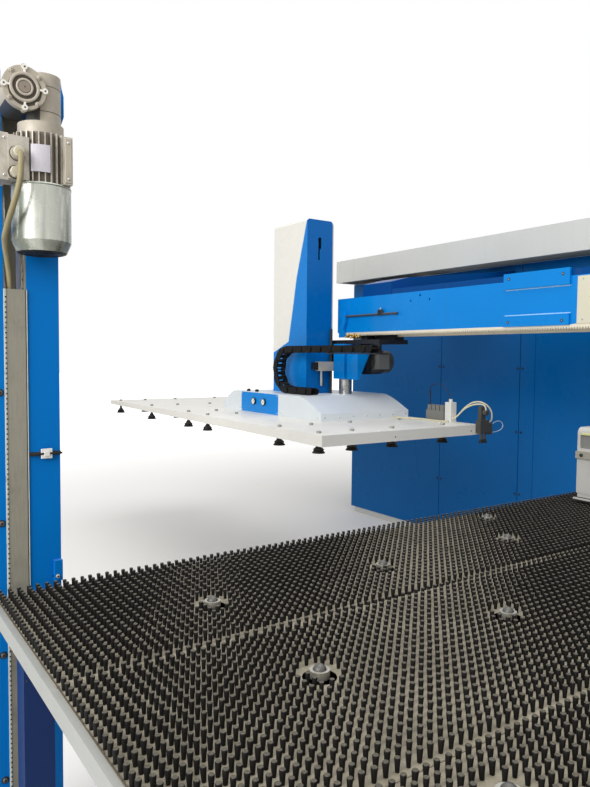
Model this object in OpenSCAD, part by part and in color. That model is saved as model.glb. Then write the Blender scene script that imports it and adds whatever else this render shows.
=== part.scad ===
/* [Press] */
// Height of the steel frame over the floor
press_h = 2250; // [2200:10:2300]
// Half width of the press covers along X
cover_half_w = 498; // [480:1:510]
// Rear end of the cabinet behind the portal
cabinet_rear_y = 5105; // [5060:5:5200]
// Front end of the front column cover
column_front_y = -1710; // [-1800:5:-1660]
// Clearance between the frame's top and the roof
roof_clear = 80; // [76:1:110]
// Height of the canopy's fascia
fascia_h = 210; // [160:5:260]
// How far the canopy stands out over the left doors
canopy_overhang = 252; // [150:1:300]
// Height of the light kerb under the covers
kerb_h = 60; // [40:1:80]
// Sheet thickness of the covers
sheet_t = 3; // [2:0.5:4]
/* [Portal] */
// Front end of the portal opening
portal_front_y = -1110; // [-1160:5:-1060]
// Rear end of the portal opening
portal_rear_y = 1790; // [1740:5:1820]
// Floor of the portal opening
portal_low_z = 800; // [780:1:815]
// Ceiling of the portal opening
portal_high_z = 1450; // [1430:1:1500]
// Width of the frame's steel section along X
frame_w = 500; // [440:5:540]
// Plate thickness of the frame
frame_plate = 60; // [40:1:80]
/* [Turret] */
// Radius of the two turret discs
turret_r = 450; // [430:1:460]
// Radius of the circle of stations
station_r = 360; // [340:1:370]
// Number of stations
stations = 20; // [12:1:20]
// Radius of one punch tool
tool_r = 30; // [22:0.5:34]
// Radius of one die
die_r = 40; // [34:0.5:44]
// Radius of the fixed spindles that the discs turn on
spindle_r = 60; // [50:1:70]
// Underside of the upper disc
upper_low_z = 975; // [970:1:990]
// Thickness of the upper disc
upper_t = 200; // [160:1:210]
// Radius of the ram
ram_r = 55; // [45:1:60]
// Stroke of the ram
ram_stroke = 40; // [20:1:45]
/* [Brush tables] */
// Height of the brush plates' upper face
plate_z = 920; // [900:1:930]
// Length of the bristle tufts
tuft_h = 30; // [20:1:40]
// Distance between tuft rows
tuft_pitch = 25; // [22:1:30]
// Width of one row of tufts
tuft_w = 12; // [10:0.5:14]
// Rows on one brush panel
panel_rows = 24; // [20:1:24]
// Width of one brush panel
panel_w = 615; // [605:1:640]
// Far edge of both tables
table_far_y = 1590; // [1580:1:1600]
// Left end of the left table
left_end_x = -4620; // [-4700:5:-4560]
// Right end of the right table
right_end_x = 2280; // [2240:5:2400]
// Height of the painted side rail
side_rail_h = 42; // [30:1:50]
// Square table leg
leg_w = 80; // [60:1:100]
// Radius of the ball transfer's flange
ball_flange_r = 37.5; // [34:0.5:39]
// Radius of the ball in a ball transfer
ball_r = 15; // [12:0.5:16]
/* [Clamp rail] */
// Left end of the clamp rail
rail_left_x = -2160; // [-2190:1:-2140]
// Right end of the clamp rail
rail_right_x = 2220; // [2150:1:2230]
// Place of the clamp rail along Y
rail_y = 1350; // [1340:1:1360]
// Width of the clamp rail
rail_w = 150; // [120:1:170]
// Underside of the clamp rail
rail_low_z = 985; // [975:1:1000]
// Top of the clamp rail
rail_high_z = 1290; // [1270:1:1310]
// Number of workpiece clamps
clamps = 3; // [2:1:3]
/* [Loading beam] */
// Left face of the loading beam
beam_x = -1830; // [-1840:1:-1820]
// Width of the loading beam
beam_w = 200; // [180:1:220]
// Underside of the loading beam
beam_low_z = 1775; // [1765:1:1785]
// Height of the loading beam
beam_h = 248; // [230:1:260]
// Near end of the loading beam
beam_near_y = -610; // [-700:5:-560]
// Far end of the loading beam
beam_far_y = 3647; // [3640:1:3655]
// Wall of the loading beam's tube
beam_wall = 10; // [8:0.5:14]
// Tooth module of the travel drive
drive_module = 5; // [5:1:5]
// Teeth on the travel pinion
pinion_teeth = 18; // [18:1:18]
/* [Suction frame] */
// Left edge of the suction frame
sf_left_x = -2813; // [-2850:1:-2780]
// Right edge of the suction frame
sf_right_x = -1570; // [-1600:1:-1550]
// Near edge of the suction frame
sf_near_y = 2500; // [2480:1:2510]
// Far edge of the suction frame
sf_far_y = 5790; // [5700:5:5850]
// Upper face of the suction frame
sf_top_z = 1180; // [1175:1:1190]
// Depth of the rim at the near edge
sf_rim = 62; // [50:1:70]
// Sheet of the suction frame
sf_t = 4; // [3:0.5:6]
// Radius of one suction cup
cup_r = 36; // [30:1:40]
// Radius of one cup stem
stem_r = 10; // [8:0.5:12]
// Length of the housing's flat top over the frame
housing_h = 153; // [140:1:160]
// Height of the column over the housing
column_h = 1243; // [1100:1:1260]
// Radius of the lift cylinder
post_r = 47; // [40:0.5:50]
// Middle radius of the energy chain's loop
chain_bend_r = 145; // [145:1:145]
// Outer height of the energy chain
chain_h = 48; // [40:1:50]
// Width of the energy chain
chain_w = 80; // [60:1:90]
/* [Lift mast] */
// Middle of the chain channel along X
mast_x = -4533; // [-4540:1:-4525]
// Near face of the lift mast
mast_y = 1640; // [1635:1:1650]
// Height of the lift mast
mast_h = 2380; // [2360:5:2420]
// Depth of the lift mast
mast_d = 220; // [200:1:240]
// Depth of the output shaft under the mast's top
shaft_drop = 84; // [80:1:110]
// Radius of the mast's two shafts
mast_shaft_r = 8; // [7:0.5:9]
// Radius of the gearbox flange
flange_r = 56; // [50:1:58]
// Radius of the motor's fan cowl
motor_r = 78; // [70:1:80]
// Pitch radius of the mast sprockets
sprocket_r = 22; // [20:0.5:24]
/* [Hidden] */
run = 0.05;
gap = 1;
bolt_r = 7;
blue = [0.08, 0.45, 0.85];
deep_blue = [0.04, 0.3, 0.62];
light_grey = [0.78, 0.8, 0.8];
cream = [0.92, 0.91, 0.86];
steel = [0.6, 0.61, 0.62];
dark = [0.09, 0.09, 0.1];

// Covers and doors
cover_top_z = press_h + roof_clear;
portal_cover_y = portal_rear_y + 110;
door_gap = 6;
gap_1_y = 3875;
gap_2_y = 3040;
rib_y = 2906;
door_d = 32;
tray_d = 28;
canopy_x = -cover_half_w - canopy_overhang;
canopy_top_z = cover_top_z + fascia_h;
column_cover_d = 400;
frame_front_y = column_front_y + 60;
frame_rear_y = portal_rear_y + 660;
frame_low_z = kerb_h;
lock_r = 17;
lock_zs = [530, 1020, 1520, 2200];
post_w = 60;
// Turret
turret_y = -station_r;
lower_top_z = plate_z - 2;
lower_t = 85;
upper_top_z = upper_low_z + upper_t;
head_h = 10;
ram_rest_z = upper_top_z + head_h + ram_stroke + 5;
centre_t = 8;
// Tables
ledge = 43;
brush_z = plate_z + tuft_h;
plate_t = 12;
tray_low_z = plate_z - 50;
table_rail_h = 60;
first_row = 20;
left_x0 = left_end_x + ledge;
left_x1 = -cover_half_w - 45;
right_x0 = cover_half_w + 45;
right_x1 = right_end_x - ledge;
table_near_y = table_far_y - 4 * panel_w;
leg_ys = [table_near_y + 40, (table_near_y + table_far_y) / 2, table_far_y - 40 - leg_w];
ball_step_x = 610;
ball_step_y = 490;
ball_clear_r = ball_flange_r + 3;
ball_z = brush_z - ball_r + 2;
cup_body_r = 22;
left_balls = [for (i = [0:5]) for (j = [0:4])
    [left_end_x + 490 + ball_step_x * i, table_far_y - 380 - ball_step_y * j]];
right_balls = [for (i = [0:1]) for (j = [0:4])
    [right_x0 + 450 + ball_step_x * i, table_far_y - 380 - ball_step_y * j]];
odd_ball = [[left_end_x + 1907, table_far_y - 117]];
balls = concat(left_balls, right_balls, odd_ball);
// Clamp rail
guide_x = frame_w / 2 + 60;
guide_w = 40;
guide_low_z = portal_high_z - 90;
guide_h = 40;
saddle_l = 260;
rail_travel = 900;
jaw_pin_r = 8;
jaw_pin_y = rail_y - rail_w / 2 - 95;
jaw_pin_z = 1060;
clamp_w = 110;
clamp_step = 520;
first_clamp_x = -700;
carriage_l = clamp_step * (clamps - 1) + 300;
jaw_tip_z = brush_z + 6;
// Loading beam and travel drive
beam_top_z = beam_low_z + beam_h;
rail_sec = 34;
low_rail_x = beam_x + 140;
rack_w = 30;
rack_h = 24;
rack_pitch_z = beam_low_z - rack_h + drive_module;
pinion_r = drive_module * pinion_teeth / 2;
pinion_y = beam_far_y - 227;
switch_y = beam_far_y - 517;
pinion_z = rack_pitch_z - pinion_r;
tooth_gap = 0.35;
carriage_top_z = beam_low_z - 55;
carriage_t = 30;
carriage_near_y = beam_far_y - 517;
carriage_far_y = beam_far_y - 47;
shaft_r = 12;
gearcase_x = beam_x + rack_w + 4;
gearcase_w = 40;
motor_z = beam_low_z - 210;
travel_motor_r = 85;
// Suction frame and lift
housing_near_y = sf_near_y + 624;
housing_far_y = housing_near_y + 1316;
housing_left_x = sf_left_x + 453;
housing_right_x = sf_right_x - 30;
housing_lip = 50;
housing_top_z = sf_top_z + housing_h;
shoulder_near = 266;
shoulder_far = 185;
column_x0 = beam_x - 310;
column_x1 = beam_x - 85;
column_y0 = carriage_far_y + 10;
column_y1 = column_y0 + 435;
column_t = 5;
lift_post_x = beam_x - 38;
lift_post_y = carriage_far_y - 100;
guide_gap = 0.5;
cup_low_z = sf_top_z - 110;
stem_top_z = sf_top_z + 12;
cup_nut_h = 8;
cup_xs = [sf_left_x + 60, sf_left_x + 293, sf_left_x + 597, sf_right_x - 223];
cup_ys = [sf_near_y + 112, sf_near_y + 510, sf_near_y + 1445, sf_near_y + 1757, sf_far_y - 830,
    sf_far_y - 107];
cup_sites = [for (x = cup_xs) for (y = cup_ys) [x, y]];
chain_x = column_x0 - 90;
tray_near_y = carriage_near_y - 440;
chain_fix_y = tray_near_y + 70;
chain_loop_y = column_y0 + 70;
chain_up_z = housing_top_z + chain_h / 2 + 2 + 2 * chain_bend_r;
chain_low_z = chain_up_z - 2 * chain_bend_r;
loop_links = 8;
loop_step = 180 / loop_links;
chain_pitch = 2 * chain_bend_r * sin(loop_step / 2);
// Mast
shaft_z = mast_h - shaft_drop;
plate_bolt_zs = [366, 736, 1118, 1490];
channel_w = 62;
channel_d = 60;
channel_t = 4;
mast_left_x = mast_x - channel_w / 2 - 73;
mast_right_x = mast_x + channel_w / 2 + 90;
low_sprocket_z = 160;
sprocket_y = mast_y + 26;
roller_pitch = 25.4;
flange_y = mast_y - 140;
motor_x = mast_x + 55;
motor_y = mast_y - 80;
// Cords: radius of each and the round points of its route
cable_r = 8;
hose_r = 5;
loop_hose_r = 2.5;
cord_sides = 10;
cord_steps = 4;
gripper_x = sf_right_x + 34;
cable_route = [
    [-4553, motor_y - 74, 2123], [-4552, 1474, 2119], [-4551, 1467, 2107], [-4552, 1464, 2088],
    [-4554, 1465, 2054], [-4560, 1472, 2020], [-4566, 1486, 1990], [-4570, 1510, 1965], [-4572, 1540, 1940],
    [-4572, 1572, 1917], [-4565, 1602, 1892], [-4556, 1625, 1862], [-4548, 1643, 1825], [-4545, 1652, 1790],
    [-4541, 1660, 1755], [-4536, 1668, 1720], [-4533, 1676, 1690], [-4533, 1686, 1668],
    [-4533, mast_y + 58, 1660]];
outer_hose_route = [
    [-1600, 2690, 1214], [-1600, 2668, 1222], [-1600, 2640, 1248], [-1599, 2610, 1277], [-1596, 2578, 1301],
    [-1591, 2546, 1317], [-1583, 2515, 1323], [-1571, 2488, 1319], [-1556, 2466, 1304], [-1543, 2452, 1283],
    [-1532, 2446, 1255], [-1524, 2450, 1228], [-1519, 2460, 1207], [-1518, 2472, 1196], [-1518, 2480, 1186]];
inner_hose_route = [
    [-1622, 2690, 1206], [-1622, 2668, 1212], [-1620, 2640, 1233], [-1616, 2612, 1260], [-1610, 2580, 1284],
    [-1603, 2548, 1299], [-1596, 2519, 1307], [-1591, 2498, 1309], [-1588, 2482, 1309], [-1586, 2470, 1307],
    [-1585, 2460, 1302], [-1585, 2453, 1295], [-1586, 2449, 1287], [-1586, 2447, 1280], [-1586, 2447, 1272]];
loop_hose_route = [
    [gripper_x + 34, 2480, 1172], [-1484, 2480, 1181], [-1462, 2480, 1191], [-1436, 2480, 1197],
    [-1410, 2480, 1195], [-1392, 2480, 1186], [-1382, 2480, 1173], [-1381, 2480, 1160], [-1388, 2480, 1149],
    [-1402, 2480, 1141], [-1420, 2480, 1135], [-1440, 2480, 1131], [-1462, 2480, 1129], [-1484, 2480, 1128],
    [gripper_x + 34, 2480, 1128]];
plate_hose_route = [
    [-1743, housing_near_y - 3, sf_top_z + 5.5], [-1722, 3072, sf_top_z + 5.5], [-1694, 3004, sf_top_z + 5.5],
    [-1668, 2922, sf_top_z + 5.5], [-1662, 2840, sf_top_z + 5.5], [-1662, 2770, sf_top_z + 5.5],
    [-1654, 2730, sf_top_z + 5.5], [-1640, 2714, sf_top_z + 5.5], [sf_right_x - 62, 2708, sf_top_z + 5.5]];
valve_loop_route = [
    [-1620, 2886, 1283], [-1620, 2893, 1310], [-1619, 2899, 1340], [-1618, 2902, 1368], [-1617, 2899, 1394],
    [-1616, 2886, 1412], [-1615, 2866, 1421], [-1614, 2842, 1424], [-1613, 2816, 1423], [-1612, 2790, 1416],
    [-1612, 2768, 1403], [-1612, 2750, 1386], [-1612, 2734, 1366], [-1612, 2721, 1347], [-1612, 2715, 1328]];

module block(x0, x1, y0, y1, z0, z1) {
    translate([x0, y0, z0]) cube([x1 - x0, y1 - y0, z1 - z0]);
}
module rod_x(r, x0, x1, y, z) {
    translate([x0, y, z]) rotate([0, 90, 0]) cylinder(r = r, h = x1 - x0, $fn = 48);
}
module rod_y(r, y0, y1, x, z) {
    translate([x, y1, z]) rotate([90, 0, 0]) cylinder(r = r, h = y1 - y0, $fn = 48);
}
module rod_z(r, z0, z1, x, y) {
    translate([x, y, z0]) cylinder(r = r, h = z1 - z0, $fn = 48);
}
// Profile in the YZ plane, drawn out along X
module along_x(x0, x1) {
    translate([x0, 0, 0]) rotate([90, 0, 90]) linear_extrude(x1 - x0) children();
}
// Profile in the XZ plane, drawn out along Y
module along_y(y0, y1) {
    translate([0, y1, 0]) rotate([90, 0, 0]) linear_extrude(y1 - y0) children();
}
// Folded door tray with its outer face on the side that side names
module tray(y0, y1, z0, z1, side) {
    outer = side * cover_half_w;
    inner = side * (cover_half_w - door_d);
    difference() {
        block(min(outer, inner), max(outer, inner), y0, y1, z0, z1);
        block(min(inner, inner + side * tray_d) - (side > 0 ? 1 : 0),
            max(inner, inner + side * tray_d) + (side < 0 ? 1 : 0),
            y0 + sheet_t, y1 - sheet_t, z0 + sheet_t, z1 - sheet_t);
    }
}
module brush_panel(x0, x1, index) {
    far_y = table_far_y - index * panel_w;
    near_y = far_y - panel_w + 2;
    columns = floor((x1 - x0) / tuft_pitch);
    difference() {
        union() {
            block(x0 - ledge + 15, x1, near_y, far_y, plate_z - plate_t, plate_z);
            for (x = [x0 - ledge + 15, (x0 + x1) / 2, x1 - plate_t])
                block(x, x + plate_t, near_y, far_y, tray_low_z, plate_z - plate_t);
            for (row = [0:panel_rows - 1])
                block(x0 - tuft_w / 2, x0 + columns * tuft_pitch - tuft_w / 2,
                    far_y - first_row - row * tuft_pitch - tuft_w / 2,
                    far_y - first_row - row * tuft_pitch + tuft_w / 2, plate_z, brush_z);
        }
        for (b = balls)
            if (b[0] > x0 && b[0] < x1 && b[1] > near_y - ball_clear_r && b[1] < far_y + ball_clear_r) {
                rod_z(ball_clear_r, plate_z, brush_z + 1, b[0], b[1]);
                rod_z(cup_body_r + gap, tray_low_z - 1, plate_z + 1, b[0], b[1]);
            }
    }
}
module table_legs(x0, x1, legs, top_z) {
    step = (x1 - x0 - leg_w) / (legs - 1);
    for (i = [0:legs - 1]) for (y = leg_ys) {
        block(x0 + i * step, x0 + i * step + leg_w, y, y + leg_w, 12, top_z);
        block(x0 + i * step - 20, x0 + i * step + leg_w + 20, y - 20, y + leg_w + 20, 0, 12);
    }
}
module table_rails(x0, x1, legs) {
    step = (x1 - x0 - leg_w) / (legs - 1);
    low_z = tray_low_z - table_rail_h;
    for (i = [0:legs - 1])
        block(x0 + i * step + 10, x0 + i * step + leg_w - 10, leg_ys[0], leg_ys[2] + leg_w, low_z, tray_low_z);
    for (y = leg_ys) block(x0, x1, y + 10, y + leg_w - 10, low_z, tray_low_z);
}

// Closed frame welded from plates, hollow inside, with a guide boss for the ram
module press_frame() {
    inner_x = frame_w / 2 - frame_plate;
    color(deep_blue) difference() {
        union() {
            difference() {
                block(-frame_w / 2, frame_w / 2, frame_front_y, frame_rear_y, frame_low_z, press_h);
                block(-inner_x, inner_x, frame_front_y + frame_plate, portal_front_y - frame_plate,
                    frame_low_z - 1, press_h + 1);
                block(-inner_x, inner_x, portal_rear_y + frame_plate, frame_rear_y - frame_plate,
                    frame_low_z - 1, press_h + 1);
                block(-inner_x, inner_x, portal_front_y - frame_plate - 1, portal_rear_y + frame_plate + 1,
                    frame_low_z - 1, portal_low_z - frame_plate);
                block(-inner_x, inner_x, portal_front_y - frame_plate - 1, portal_rear_y + frame_plate + 1,
                    portal_high_z + frame_plate, press_h + 1);
                block(-frame_w, frame_w, portal_front_y, portal_rear_y, portal_low_z, portal_high_z);
            }
            rod_z(ram_r + 60, portal_high_z + 1, press_h, 0, 0);
        }
        rod_z(ram_r + run, portal_high_z - 1, press_h + 1, 0, 0);
    }
}
module base_kerb() {
    inner_x = cover_half_w - door_d - post_w;
    color(light_grey) difference() {
        block(-cover_half_w + 25, cover_half_w - 25, column_front_y + 30, cabinet_rear_y - 30, 0, kerb_h);
        for (y = [[column_front_y + 230, -200], [200, portal_cover_y], [portal_cover_y + 100, gap_2_y - 50],
            [gap_1_y + 50, cabinet_rear_y - 150]])
            block(-frame_w / 2 + 40, frame_w / 2 - 40, y[0], y[1], -1, kerb_h + 1);
    }
    color(deep_blue) for (x = [-inner_x - post_w, inner_x])
        for (y = [portal_cover_y + 10, gap_2_y - post_w / 2, gap_1_y - post_w / 2,
            cabinet_rear_y - door_d - post_w - 6])
            block(x, x + post_w, y, y + post_w, kerb_h - 1, cover_top_z);
}
module left_door_rear() {
    color(blue) tray(gap_1_y + door_gap / 2, cabinet_rear_y, kerb_h, cover_top_z, -1);
}
module left_door_middle() {
    color(blue) tray(gap_2_y + door_gap / 2, gap_1_y - door_gap / 2, kerb_h, cover_top_z, -1);
}
module left_door_front() {
    color(blue) {
        tray(portal_cover_y, gap_2_y - door_gap / 2, kerb_h, cover_top_z, -1);
        block(-cover_half_w - 4, -cover_half_w + sheet_t, rib_y - 4, rib_y + 4, kerb_h + 20, cover_top_z - 20);
    }
}
module left_upper_cover() {
    color(blue) tray(column_front_y + column_cover_d + door_gap, portal_cover_y - door_gap,
        portal_high_z + 20, cover_top_z, -1);
}
module front_column_cover() {
    color(blue) difference() {
        block(-cover_half_w, cover_half_w, column_front_y, column_front_y + column_cover_d, kerb_h, cover_top_z);
        block(-cover_half_w + sheet_t, cover_half_w - sheet_t, column_front_y + sheet_t,
            column_front_y + column_cover_d + 1, kerb_h - 1, cover_top_z - sheet_t);
    }
}
module right_and_rear_covers() {
    color(blue) {
        tray(portal_cover_y, gap_2_y - door_gap / 2, kerb_h, cover_top_z, 1);
        tray(gap_2_y + door_gap / 2, gap_1_y - door_gap / 2, kerb_h, cover_top_z, 1);
        tray(gap_1_y + door_gap / 2, cabinet_rear_y, kerb_h, cover_top_z, 1);
        tray(column_front_y + column_cover_d + door_gap, portal_cover_y - door_gap, portal_high_z + 20,
            cover_top_z, 1);
        difference() {
            block(-cover_half_w + door_d + 2, cover_half_w - door_d - 2, cabinet_rear_y - door_d,
                cabinet_rear_y, kerb_h, cover_top_z);
            block(-cover_half_w + door_d + 2 + sheet_t, cover_half_w - door_d - 2 - sheet_t,
                cabinet_rear_y - door_d - 1, cabinet_rear_y - sheet_t, kerb_h + sheet_t, cover_top_z - sheet_t);
        }
    }
}
// Roof with a folded fascia all round, open below
module canopy() {
    rim = 30;
    color(light_grey) difference() {
        block(canopy_x, -canopy_x, column_front_y - 40, cabinet_rear_y - 30, cover_top_z, canopy_top_z);
        block(canopy_x + sheet_t, -canopy_x - sheet_t, column_front_y - 40 + sheet_t,
            cabinet_rear_y - 30 - sheet_t, cover_top_z + sheet_t, canopy_top_z - sheet_t);
        block(canopy_x + rim, -cover_half_w, column_front_y, cabinet_rear_y - 60, cover_top_z - 1,
            cover_top_z + sheet_t + 1);
        block(cover_half_w, -canopy_x - rim, column_front_y, cabinet_rear_y - 60, cover_top_z - 1,
            cover_top_z + sheet_t + 1);
    }
}
module door_locks() {
    color(dark) for (side = [-1, 1]) for (y = [gap_1_y, gap_2_y]) for (dy = [-22, 22]) for (z = lock_zs)
        rod_x(lock_r / 2, side > 0 ? cover_half_w : -cover_half_w - 5,
            side > 0 ? cover_half_w + 5 : -cover_half_w, y + dy, z);
}
// Oil tank with pump motor inside the rear cabinet
module hydraulic_unit() {
    tank = [560, 900, 420];
    tank_y = gap_2_y + 200;
    color(steel) {
        block(-tank[0] / 2, tank[0] / 2, tank_y, tank_y + tank[1], kerb_h, kerb_h + tank[2]);
        rod_y(130, tank_y + 60, tank_y + 520, 0, kerb_h + tank[2] + 129);
        block(-90, 90, tank_y + 620, tank_y + 820, kerb_h + tank[2], kerb_h + tank[2] + 200);
    }
}
module station_ring() {
    for ($station = [0:stations - 1])
        translate([0, turret_y, 0]) rotate([0, 0, $station * 360 / stations]) children();
}
// Lower disc with a seated die at each station
module lower_turret() {
    color(steel) difference() {
        rod_z(turret_r, lower_top_z - lower_t, lower_top_z, 0, turret_y);
        rod_z(spindle_r + run, lower_top_z - lower_t - 1, lower_top_z + 1, 0, turret_y);
        station_ring() {
            rod_z(4 + ($station % 5) * 3, lower_top_z - 31, lower_top_z + 1, 0, station_r);
            rod_z(die_r - 12, lower_top_z - lower_t - 1, lower_top_z - 30, 0, station_r);
            difference() {
                rod_z(die_r + 3, lower_top_z - 3, lower_top_z + 1, 0, station_r);
                rod_z(die_r, lower_top_z - 4, lower_top_z + 2, 0, station_r);
            }
        }
    }
}
// Upper disc with a punch tool hanging in each station
module upper_turret() {
    color(steel) {
        difference() {
            rod_z(turret_r, upper_low_z, upper_top_z, 0, turret_y);
            rod_z(spindle_r + run, upper_low_z - 1, upper_top_z + 1, 0, turret_y);
            station_ring() rod_z(tool_r, upper_low_z - 1, upper_low_z + 30, 0, station_r);
        }
        station_ring() {
            rod_z(tool_r * 1.15, upper_top_z - 1, upper_top_z + head_h, 0, station_r);
            rod_z(tool_r - 3, upper_low_z + 20, upper_low_z + 31, 0, station_r);
            rod_z(3.5 + ($station % 5) * 3, upper_low_z + 2, upper_low_z + 21, 0, station_r);
        }
    }
}
module turret_spindles() {
    color(steel) {
        rod_z(spindle_r, portal_low_z, lower_top_z - 4, 0, turret_y);
        rod_z(spindle_r * 1.5, portal_low_z, lower_top_z - lower_t - 2, 0, turret_y);
        rod_z(spindle_r, upper_low_z + 4, portal_high_z, 0, turret_y);
        rod_z(spindle_r * 1.6, upper_top_z + 14, portal_high_z, 0, turret_y);
    }
}
module ram() {
    color([0.75, 0.76, 0.78]) rod_z(ram_r, ram_rest_z, press_h - 150, 0, 0);
}
module ram_cylinder() {
    color(dark) difference() {
        union() {
            rod_z(ram_r + 45, press_h, press_h + 70, 0, 0);
            rod_z(ram_r + 70, press_h, press_h + 20, 0, 0);
        }
        rod_z(ram_r + 1, press_h - 1, press_h + 20, 0, 0);
    }
}
module left_table_frame() {
    color([0.1, 0.13, 0.2]) table_rails(left_end_x + 60, left_x1 - 10, 3);
}
module left_table_legs() {
    color([0.1, 0.13, 0.2]) table_legs(left_end_x + 60, left_x1 - 10, 3, tray_low_z - table_rail_h);
}
module left_side_rail() {
    color(cream) {
        block(left_end_x, left_end_x + 15, table_near_y, table_far_y, plate_z - side_rail_h, plate_z);
    }
}
module left_brush_1() {
    color(dark) brush_panel(left_x0, left_x1, 0);
}
module left_brush_2() {
    color(dark) brush_panel(left_x0, left_x1, 1);
}
module left_brush_3() {
    color(dark) brush_panel(left_x0, left_x1, 2);
}
module left_brush_4() {
    color(dark) brush_panel(left_x0, left_x1, 3);
}
module right_table_frame() {
    color([0.1, 0.13, 0.2]) {
        table_rails(right_x0 - ledge + 30, right_x1 - 10, 2);
        table_legs(right_x0 - ledge + 30, right_x1 - 10, 2, tray_low_z - table_rail_h + 1);
    }
}
module right_brush() {
    color(dark) for (i = [0:3]) brush_panel(right_x0, right_x1, i);
}
// Fixed table under the portal with a round cut for the lower disc
module centre_table() {
    half = cover_half_w - 4;
    color(light_grey) difference() {
        union() {
            block(-half, half, portal_front_y + 10, portal_rear_y - 10, plate_z - centre_t, plate_z);
            for (x = [-frame_w / 2, frame_w / 2 - 20])
                for (y = [[portal_front_y + 20, turret_y - turret_r - 30],
                    [turret_y + turret_r + 30, portal_rear_y - 30]])
                    block(x, x + 20, y[0], y[1], portal_low_z, plate_z - centre_t);
        }
        rod_z(turret_r + 6, plate_z - centre_t - 1, plate_z + 1, 0, turret_y);
    }
}
module ball_cups() {
    color(steel) for (b = balls) difference() {
        union() {
            rod_z(cup_body_r, plate_z - 30, plate_z + 1, b[0], b[1]);
            rod_z(ball_flange_r, plate_z, plate_z + 3, b[0], b[1]);
            rod_z(cup_body_r, plate_z, ball_z + 3, b[0], b[1]);
        }
        translate([b[0], b[1], ball_z]) sphere(r = ball_r + 0.4, $fn = 48);
        rod_z(ball_r - 1, ball_z, brush_z + 5, b[0], b[1]);
    }
}
module table_balls() {
    color([0.8, 0.8, 0.82]) for (b = balls) translate([b[0], b[1], ball_z]) sphere(r = ball_r, $fn = 48);
}
// Guide rails on ledges along both sides of the portal's ceiling
module y_guide_rails() {
    color(steel) for (side = [-1, 1]) {
        block(side * guide_x - guide_w / 2, side * guide_x + guide_w / 2, portal_front_y + 100,
            portal_rear_y - 20, guide_low_z, guide_low_z + guide_h);
        block(side * guide_x - (side > 0 ? 62 : 30), side * guide_x + (side > 0 ? 30 : 62),
            portal_front_y + 100, portal_rear_y - 20, guide_low_z + guide_h, portal_high_z);
        block(side > 0 ? frame_w / 2 : -guide_x, side > 0 ? guide_x : -frame_w / 2,
            portal_front_y + 100, portal_rear_y - 20, portal_high_z - 12, portal_high_z + 15);
    }
}
module y_saddles() {
    color(dark) for (side = [-1, 1]) difference() {
        block(side * guide_x - 45, side * guide_x + 45, rail_y - saddle_l / 2, rail_y + saddle_l / 2,
            rail_high_z, guide_low_z + guide_h - 4);
        block(side * guide_x - guide_w / 2 - guide_gap, side * guide_x + guide_w / 2 + guide_gap,
            rail_y - saddle_l, rail_y + saddle_l, guide_low_z - guide_gap, guide_low_z + guide_h);
    }
}
// Rail body with a guide way and a toothed bar seat on its near side
module clamp_rail() {
    near = rail_y - rail_w / 2;
    color(light_grey) difference() {
        block(rail_left_x + 160, rail_right_x - 160, near, rail_y + rail_w / 2, rail_low_z + 30, rail_high_z);
        block(rail_left_x, rail_right_x, near - 1, near + 30, rail_low_z + 90, rail_low_z + 130);
        block(rail_left_x, rail_right_x, near - 1, near + 30, rail_high_z - 80, rail_high_z - 40);
    }
}
// White end housings, each with a rounded shoulder, a bar and a foot plate
module rail_end_housings() {
    depth = rail_w + 10;
    round_r = 28;
    color(cream) for (side = [-1, 1]) {
        x0 = side < 0 ? rail_left_x : rail_right_x - 160;
        outer = side < 0 ? rail_left_x : rail_right_x;
        difference() {
            along_y(rail_y - depth / 2, rail_y + depth / 2) union() {
                translate([x0, rail_low_z + 6]) square([160, rail_high_z - rail_low_z - 6 - round_r]);
                translate([side < 0 ? x0 + round_r : x0, rail_low_z + 6])
                    square([160 - round_r, rail_high_z - rail_low_z - 6]);
                translate([side < 0 ? x0 + round_r : x0 + 160 - round_r, rail_high_z - round_r])
                    circle(r = round_r, $fn = 48);
            }
            block(outer - 12, outer + 12, rail_y - depth / 2 + 14, rail_y + depth / 2 - 14, rail_high_z - 95,
                rail_high_z - 35);
        }
        block(outer - 14, outer + 14, rail_y - depth / 2 - 14, rail_y + depth / 2, rail_high_z - 140,
            rail_high_z - 108);
        block(x0 - 14, x0 + 174, rail_y - depth / 2 - 6, rail_y + depth / 2 + 4, brush_z + 5, brush_z + 22);
        block(x0 + 4, x0 + 156, rail_y - depth / 2 + 4, rail_y + depth / 2 - 4, brush_z + 21, rail_low_z + 7);
    }
}
module clamp_site(i) {
    translate([first_clamp_x + i * clamp_step, 0, 0]) children();
}
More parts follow.
